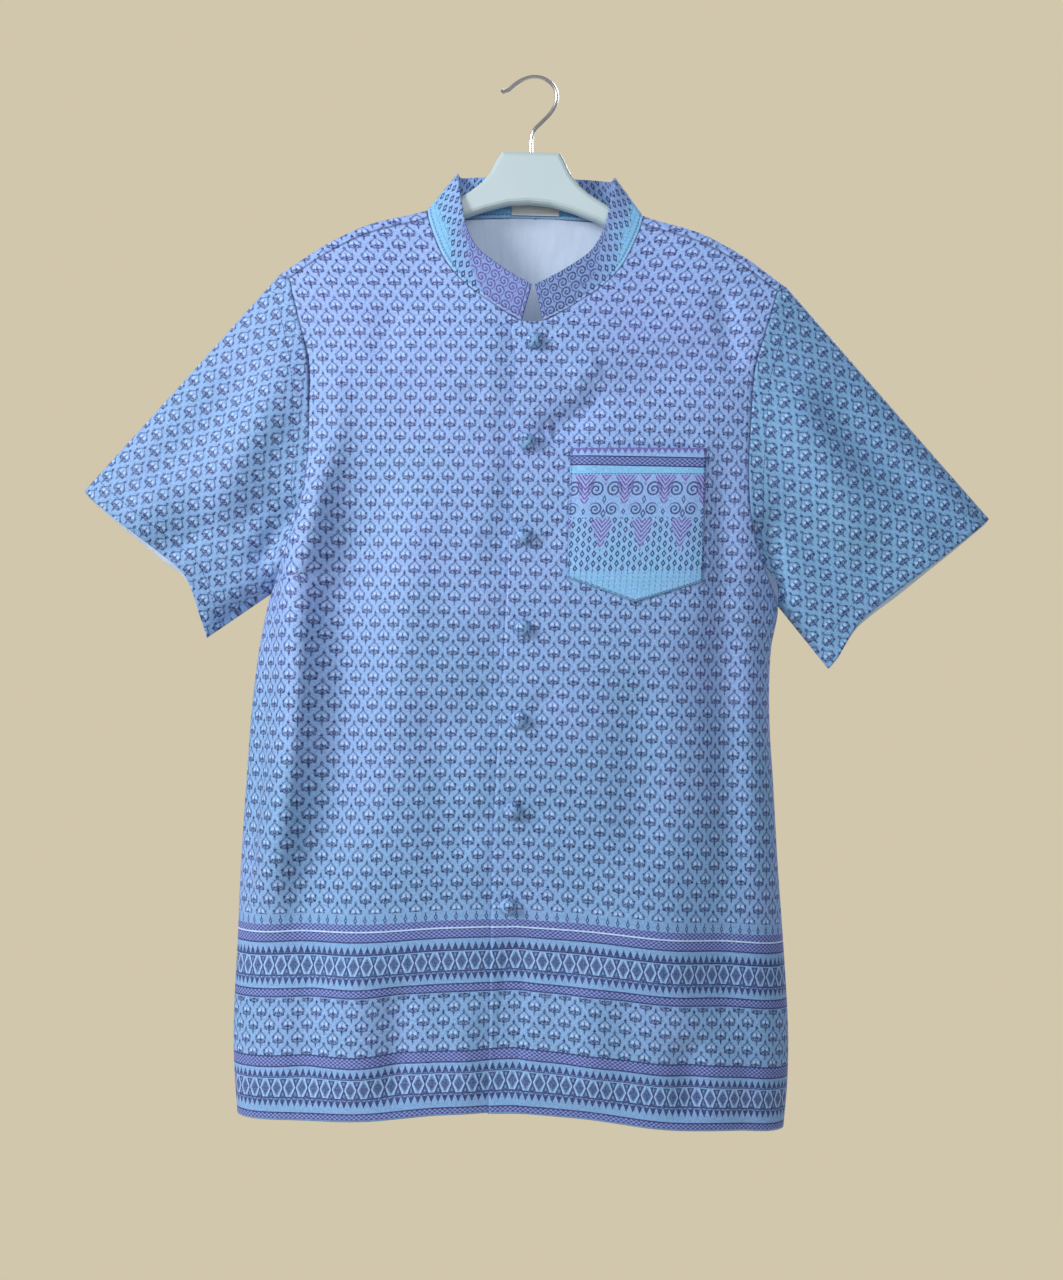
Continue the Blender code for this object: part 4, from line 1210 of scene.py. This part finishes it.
def grid_ways(points):
    """Distances over a grid along its rows from the first column, and along its columns
    from the first row."""
    along = np.zeros(points.shape[:2])
    up = np.zeros(points.shape[:2])
    along[:, 1:] = np.cumsum(np.linalg.norm(np.diff(points, axis=1), axis=2), axis=1)
    up[1:] = np.cumsum(np.linalg.norm(np.diff(points, axis=0), axis=2), axis=0)
    return along, up


def seam_map(points, neck_row):
    """For a body half: distance to the nearest seam, and the way along it. Its first column
    is an edge that shows from the neck row up."""
    along, up = grid_ways(points)
    outer = along[:, -1:] - along
    top = up[-1:] - up
    neck = np.where(np.arange(len(points))[:, None] > neck_row, along, UNSEWN)
    return np.stack([np.minimum(np.minimum(outer, top), neck), up + along], axis=2)


shift = np.array([SHIRT_SHIFT, 0.0, 0.0])
front_pieces = {}
for side, name in ((-1, "front_left"), (1, "front_right")):
    grid = finer(fronts[side], GRAIN)
    normal = grid_normals(grid, side)
    uv = body_uv(grid)
    neck_row = np.argmax(np.abs(grid[:, 0, 0]) > UNDER_LAP + 0.004) if side < 0 else -1
    seams = seam_map(grid, neck_row)
    rise = creases(FRONT_CREASES[side], grid[..., 0], grid[..., 2])
    piece = shell(name + "_cloth", [(grid + normal * rise[..., None] + shift, uv, seams)], cloth,
                  sign=side, inner=lining)
    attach(piece, "root")
    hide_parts(name)
    front_pieces[side] = piece

front_mesh = front_pieces[1].data
front_surface = BVHTree.FromPolygons([vert.co[:] for vert in front_mesh.vertices],
                                     [face.vertices[:] for face in front_mesh.polygons])

# Back. One panel of the same cloth, which comes over the shoulders' roll to the seams on
# their front, sewn to the sleeves and the collar. It is two mirrored grids, joined along
# the centre line up to the neckline.

CENTRE_COLUMNS = 10     # over which each half bends to meet the other at the centre line
NECK_HALF = 0.030       # rows that start farther out than this are past the neckline
BACK_CREASES = (
    (((-150, -300), (-162, -420), (-168, -560)), 12, -3.6),
    (((146, -330), (160, -470), (172, -640)), 12, -3.8),
    (((-20, -180), (-30, -330), (-22, -520)), 20, -2.6),
    (((40, -600), (30, -700), (36, -836)), 20, -3.4),
    (((-110, -560), (-116, -700), (-108, -840)), 22, -3.2),
    (((100, -150), (60, -200)), 10, -1.6),
    (((-105, -150), (-70, -190)), 9, -1.4))

halves = []
for side in (-1, 1):
    grid = finer(backs[side], GRAIN)
    uv = body_uv(grid)
    seams = seam_map(grid, np.argmax(np.abs(grid[:, 0, 0]) > 0.002))
    normal = grid_normals(grid, -side)
    rise = creases(BACK_CREASES, grid[..., 0], grid[..., 2])
    fade = ease((ridge_z(grid[..., 0]) - grid[..., 2]) / 0.04) * (grid[..., 1] > 0)
    halves.append([grid + normal * (rise * fade)[..., None] + shift, uv, seams])
first = halves[1][0][:, 0]
centre_rows = (first[:, 2] < BACK_NECKLINE["z"][0] - 0.0002) & (first[:, 0] < NECK_HALF)
middle = 0.5 * (halves[0][0][:, 0] + halves[1][0][:, 0])
middle[:, 0] = SHIRT_SHIFT
fade = np.clip(1 - np.arange(CENTRE_COLUMNS) / CENTRE_COLUMNS, 0, 1)[None, :, None]
for half in halves:
    step = (middle - half[0][:, 0]) * centre_rows[:, None]
    half[0][:, :CENTRE_COLUMNS] += step[:, None] * fade
back_piece = shell("back_cloth", halves, cloth, sign=-1, inner=lining)
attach(back_piece, "root")
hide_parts("back")

# Sleeves. Short set-in tubes of the same cloth, cut on the slant so that the rows of buds
# run along them, gathered to nothing and sewn into the armholes; their cuffs are turned in
# and stitched.

SLEEVE_CREASES = {
    -1: (
        (((-180, -344), (-200, -378), (-223, -413)), 10, -7.8),
        (((-209, -431), (-231, -443), (-254, -458)), 8, -5),
        (((-187, -215), (-221, -304), (-263, -402)), 20, 7),
        (((-215, -230), (-262, -290), (-315, -350)), 20, -3)),
    1: (
        (((186, -352), (196, -390), (208, -432)), 10, -7.8),
        (((212, -448), (224, -462), (240, -474)), 8, -5.4),
        (((200, -230), (236, -310), (280, -400)), 22, 5.6),
        (((225, -240), (275, -300), (330, -350)), 20, -2.4))}

SLEEVE_TOP = (0.208, -0.1665)   # where a sleeve's upper fold meets the shoulder

for side, name in ((-1, "left"), (1, "right")):
    grid = finer(sleeve_tube(side, fronts[side], backs[side]), GRAIN, closed=True)
    normal = grid_normals(grid, -side, closed=True)
    rise = creases(SLEEVE_CREASES[side], grid[..., 0], grid[..., 2])
    rise = rise * ease(-normal[..., 1] * 2)
    top = np.array([side * SLEEVE_TOP[0], 0.0, SLEEVE_TOP[1]])
    cuff_tip = np.array([side * CUFF[name + "_x"][-1], 0.0, CUFF[name + "_z"][-1]])
    fold = (cuff_tip - top) / np.linalg.norm(cuff_tip - top)
    slant = np.array([-side * abs(fold[2]), 0.0, -abs(fold[0])])
    uv = np.stack([side * ((grid - top) @ slant), -((grid - top) @ fold)], axis=2)
    around, length = grid_ways(grid)
    seams = np.stack([np.minimum(length, length[-1:] - length + 0.0012), around], axis=2)
    piece = shell(f"sleeve_{name}_cloth", [(grid + normal * rise[..., None] + shift, uv, seams)],
                  sleeve_cloth[side], closed=True, sign=-side, inner=lining)
    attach(piece, "root")
    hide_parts("sleeve_" + name)

# Collar. The stand: a stiffened double band of the scroll border's cloth, sewn round the
# neckline, its rounded front ends edge to edge; a painted highlight along its lower edge
# and a row of stitches follow the seam.

COLLAR_GRAIN = 0.0015
COLLAR_CLOTH = 0.0014

band = collar_band(fronts, backs)
grid = finer(band, COLLAR_GRAIN)
around, rise = grid_ways(grid)
middle_way = around[0] - around[0, -1] / 2
uv = np.stack([np.broadcast_to(middle_way, rise.shape), rise], axis=2)
ends = np.minimum(around, around[:, -1:] - around)
seams = np.stack([np.minimum(rise, ends), around], axis=2)
collar_piece = shell("collar_cloth", [(grid + shift, uv, seams)], collar_cloth, sign=-1,
                     thickness=COLLAR_CLOTH)
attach(collar_piece, "root")
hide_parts("collar")

# Pocket. A patch pocket with a pointed bottom, cut from the scroll border; its mouth is
# turned down and stitched, and its other edges are turned in and stitched to the front.

POCKET_LEFT = 0.0325
POCKET_RIGHT = 0.1405
POCKET_TOP = (-0.3085, -0.3045)     # at its left and right corners
POCKET_SHOULDER = -0.4105
POCKET_POINT = (0.0865, -0.4280)
POCKET_COLUMNS = 54
POCKET_ROWS = 58
POCKET_GAP = 0.0003                 # from the front's cloth to the pocket's
POCKET_PUFF = 0.0018                # how far its middle stands off the front
SEEN_FROM = -0.3                    # rays start this far in front of the shirt


def on_front(x, z):
    """The front's surface at a place seen from the front, and its outward direction."""
    place, normal, _, _ = front_surface.ray_cast(Vector((x, SEEN_FROM, z)), Vector((0, 1, 0)))
    return place, normal


grid = np.zeros((POCKET_ROWS + 1, POCKET_COLUMNS + 1, 3))
uv = np.zeros((POCKET_ROWS + 1, POCKET_COLUMNS + 1, 2))
seams = np.zeros(uv.shape)
for c in range(POCKET_COLUMNS + 1):
    x = mix(POCKET_LEFT, POCKET_RIGHT, c / POCKET_COLUMNS)
    high = mix(POCKET_TOP[0], POCKET_TOP[1], c / POCKET_COLUMNS)
    reach = POCKET_POINT[0] - POCKET_LEFT if x < POCKET_POINT[0] else (
        POCKET_RIGHT - POCKET_POINT[0])
    low = mix(POCKET_POINT[1], POCKET_SHOULDER, abs(x - POCKET_POINT[0]) / reach)
    for r in range(POCKET_ROWS + 1):
        z = mix(low, high, r / POCKET_ROWS)
        edge = min(x - POCKET_LEFT, POCKET_RIGHT - x, (z - low) * 0.94)
        puff = float(ease(edge / 0.016)) * (0.35 + 0.65 * float(ease((z - low) / 0.07)))
        hit, _ = on_front(x + SHIRT_SHIFT, z)
        lift = POCKET_GAP + CLOTH + POCKET_PUFF * puff
        grid[r, c] = (hit.x, hit.y - lift, hit.z)
        uv[r, c] = (x - (POCKET_LEFT + POCKET_RIGHT) / 2, high - z)
        seams[r, c] = (edge, z + x)
pocket_piece = shell("pocket_cloth", [(grid, uv, seams)], pocket_cloth, inner=lining)
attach(pocket_piece, "root")
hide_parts("pocket")

# Buttons. Seven domes covered with the printed cloth, which is gathered under their rims;
# each is sewn on near the upper front's edge and stays fastened.

BUTTONS = table(
    "x z",
    (1.8, -223.8),
    (-1.6, -304.2),
    (-2.8, -379),
    (-1.3, -450.8),
    (-2.1, -522.7),
    (-5.7, -593.9),
    (-6.9, -668.5))
BUTTON_RADIUS = 0.0070
BUTTON_HEIGHT = 0.0060
BUTTON_BACK = 0.28                  # depth of its back as a share of its height
BUTTON_PLEATS = 9
PLEAT_DEPTH = 0.022                 # as a share of the radius
RIM_SHADE = 0.0040                  # painted shade that darkens a cover towards its rim
COVER_STEP = (0.0117, 0.0173)       # each button's cover is cut from another place

button_cloth = cloth_finish("printed_cloth_buttons", body_print, 0.3, 0.0, 0.30)
for number, (x, z) in enumerate(zip(BUTTONS["x"], BUTTONS["z"])):
    hit, normal = on_front(x + SHIRT_SHIFT, z)
    bm = bmesh.new()
    bmesh.ops.create_uvsphere(bm, u_segments=40, v_segments=20, radius=1.0)
    flat = bm.loops.layers.uv.new("flat")
    seam = bm.loops.layers.uv.new("seam")
    for face in bm.faces:
        face.smooth = True
        for loop in face.loops:
            co = loop.vert.co
            spread = 1.0 + 0.5 * (1.0 - abs(co.z))
            loop[flat].uv = (co.x * spread * BUTTON_RADIUS + number * COVER_STEP[0],
                             co.y * spread * BUTTON_RADIUS + number * COVER_STEP[1])
            # painted shade: the seam map's dark line falls over the cover's rim and back
            loop[seam].uv = (max(0.0, co.z) * RIM_SHADE, 0.0)
    turned = normal.to_track_quat("Z", "Y").to_matrix()
    for vert in bm.verts:
        turn = math.atan2(vert.co.y, vert.co.x)
        level = vert.co.z
        rim = (1.0 - abs(level)) ** 1.5
        pleat = PLEAT_DEPTH * rim * math.sin(BUTTON_PLEATS * turn + 1.7 * number)
        fold = 0.05 * math.sin(2.0 * turn + 4.0 * level + number) * (1.0 - level * level)
        wide = BUTTON_RADIUS * (1.0 + pleat) * 0.97
        high = BUTTON_HEIGHT * level * (1.0 if level > 0 else BUTTON_BACK) * (1.0 + fold)
        local = Vector((vert.co.x * wide, vert.co.y * wide, high))
        vert.co = hit + normal * (BUTTON_HEIGHT * BUTTON_BACK) + turned @ local
    cover = made_object(f"button_cover_{number + 1}", bm, button_cloth)
    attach(cover, "root")
    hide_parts(f"button_{number + 1}")

# Neck label. A blank woven satin label, folded once along its lower edge and sewn inside
# the back of the neck.

LABEL_COLUMNS = 40
LABEL_ROWS = 20
LABEL_TURN = 0.0034                 # height of the fold that shows along its lower edge

label_node = nodes["neck_label"]
label_matrix = label_node.matrix_world
label_surface = BVHTree.FromPolygons(
    [(label_matrix @ vert.co)[:] for vert in label_node.data.vertices],
    [face.vertices[:] for face in label_node.data.polygons])
label_low, label_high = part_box("neck_label")
grid = np.zeros((LABEL_ROWS + 1, LABEL_COLUMNS + 1, 3))
for c in range(LABEL_COLUMNS + 1):
    x = mix(label_low[0] + 0.0002, label_high[0] - 0.0002, c / LABEL_COLUMNS)
    heights = []
    for r in range(LABEL_ROWS + 1):
        z = mix(label_low[2] + 0.0008, label_high[2] - 0.0008, r / LABEL_ROWS)
        hit = label_surface.ray_cast(Vector((x, -0.02, z)), Vector((0, 1, 0)))[0]
        heights.append(hit.y if hit is not None else None)
    known = [r for r, y in enumerate(heights) if y is not None]
    for r in range(LABEL_ROWS + 1):
        z = mix(label_low[2] + 0.0008, label_high[2] - 0.0008, r / LABEL_ROWS)
        y = heights[r] if heights[r] is not None else heights[min(known, key=lambda k: abs(k - r))]
        turn = float(ease(1 - (z - label_low[2]) / LABEL_TURN))
        grid[r, c] = (x, y - 0.0006 * turn - 0.0003 * math.sin(c / LABEL_COLUMNS * math.pi), z)

satin, tree, shader = new_finish("label_satin_finish")
across, up = uv_parts(tree, "flat")
weft = noise(tree, 900.0, 1.0, joined(tree, across * 0.2, up))
# painted shade: a darker line where the label is folded
fold_shade_line = (up * 1000.0).near(LABEL_TURN * 1000.0, 0.12, 0.2)
colour = blend(tree, weft, paint(196, 198, 196), paint(224, 226, 220))
colour = blend(tree, fold_shade_line * 0.5, colour, paint(120, 124, 130))
tree.links.new(colour, shader.inputs["Base Color"])
tree.links.new(weft.step("MULTIPLY_ADD", 0.2, 0.32).socket, shader.inputs["Roughness"])
add_bump(tree, shader, weft, 0.3, 0.0002)
along, up_way = grid_ways(grid)
label_piece = shell("neck_label_satin", [(grid, np.stack([along, up_way], axis=2), None)], satin,
                    thickness=0.0004)
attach(label_piece, "root")
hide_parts("neck_label")

# Hanger. A pale plastic moulding, plate and arms in one, with a satin surface. Its solid
# has the right shape, so it stays and gets its finish here.


def solid_finish(node, name, tone, low, high, grain, span, least, bump):
    """Gives a node its finish: two near tones that drift into each other, and a fine grain
    in its roughness. tone and grain are each a noise's scale and detail."""
    finish, tree, shader = new_finish(name)
    place = tree.nodes.new("ShaderNodeTexCoord").outputs["Object"]
    fine = noise(tree, *grain, place, 0.7)
    colour = blend(tree, noise(tree, *tone, place), low, high)
    tree.links.new(colour, shader.inputs["Base Color"])
    tree.links.new(fine.step("MULTIPLY_ADD", span, least).socket, shader.inputs["Roughness"])
    add_bump(tree, shader, fine, bump, 0.0001)
    nodes[node].data.materials.clear()
    nodes[node].data.materials.append(finish)
    return shader


plastic = solid_finish("hanger_body", "hanger_plastic_finish", (14.0, 2.0),
                       paint(168, 189, 195), paint(182, 200, 205), (1400.0, 2.0),
                       0.16, 0.28, 0.12)
plastic.inputs["Coat Weight"].default_value = 0.15

# Hook. A bent steel wire, plated bright, set into the hanger's plate. It stays as its
# solid, with fine marks along the wire.

steel = solid_finish("hanger_hook", "hook_wire_finish", (60.0, 1.0),
                     paint(188, 188, 190), paint(226, 226, 228), (700.0, 3.0),
                     0.22, 0.14, 0.1)
steel.inputs["Metallic"].default_value = 1.0

# Floor. A plain pale floor well below the shirt.

FLOOR_Z = -1.750

floor_paint, tree, shader = new_finish("floor_paint")
place = tree.nodes.new("ShaderNodeTexCoord").outputs["Object"]
colour = blend(tree, noise(tree, 3.0, 2.0, place), paint(232, 220, 194),
               paint(242, 230, 204))
tree.links.new(colour, shader.inputs["Base Color"])
shader.inputs["Roughness"].default_value = 0.9
bm = bmesh.new()
bmesh.ops.create_circle(bm, cap_ends=True, segments=64, radius=1.6)
bmesh.ops.translate(bm, vec=(0, 0, FLOOR_Z), verts=bm.verts)
made_object("floor", bm, floor_paint)
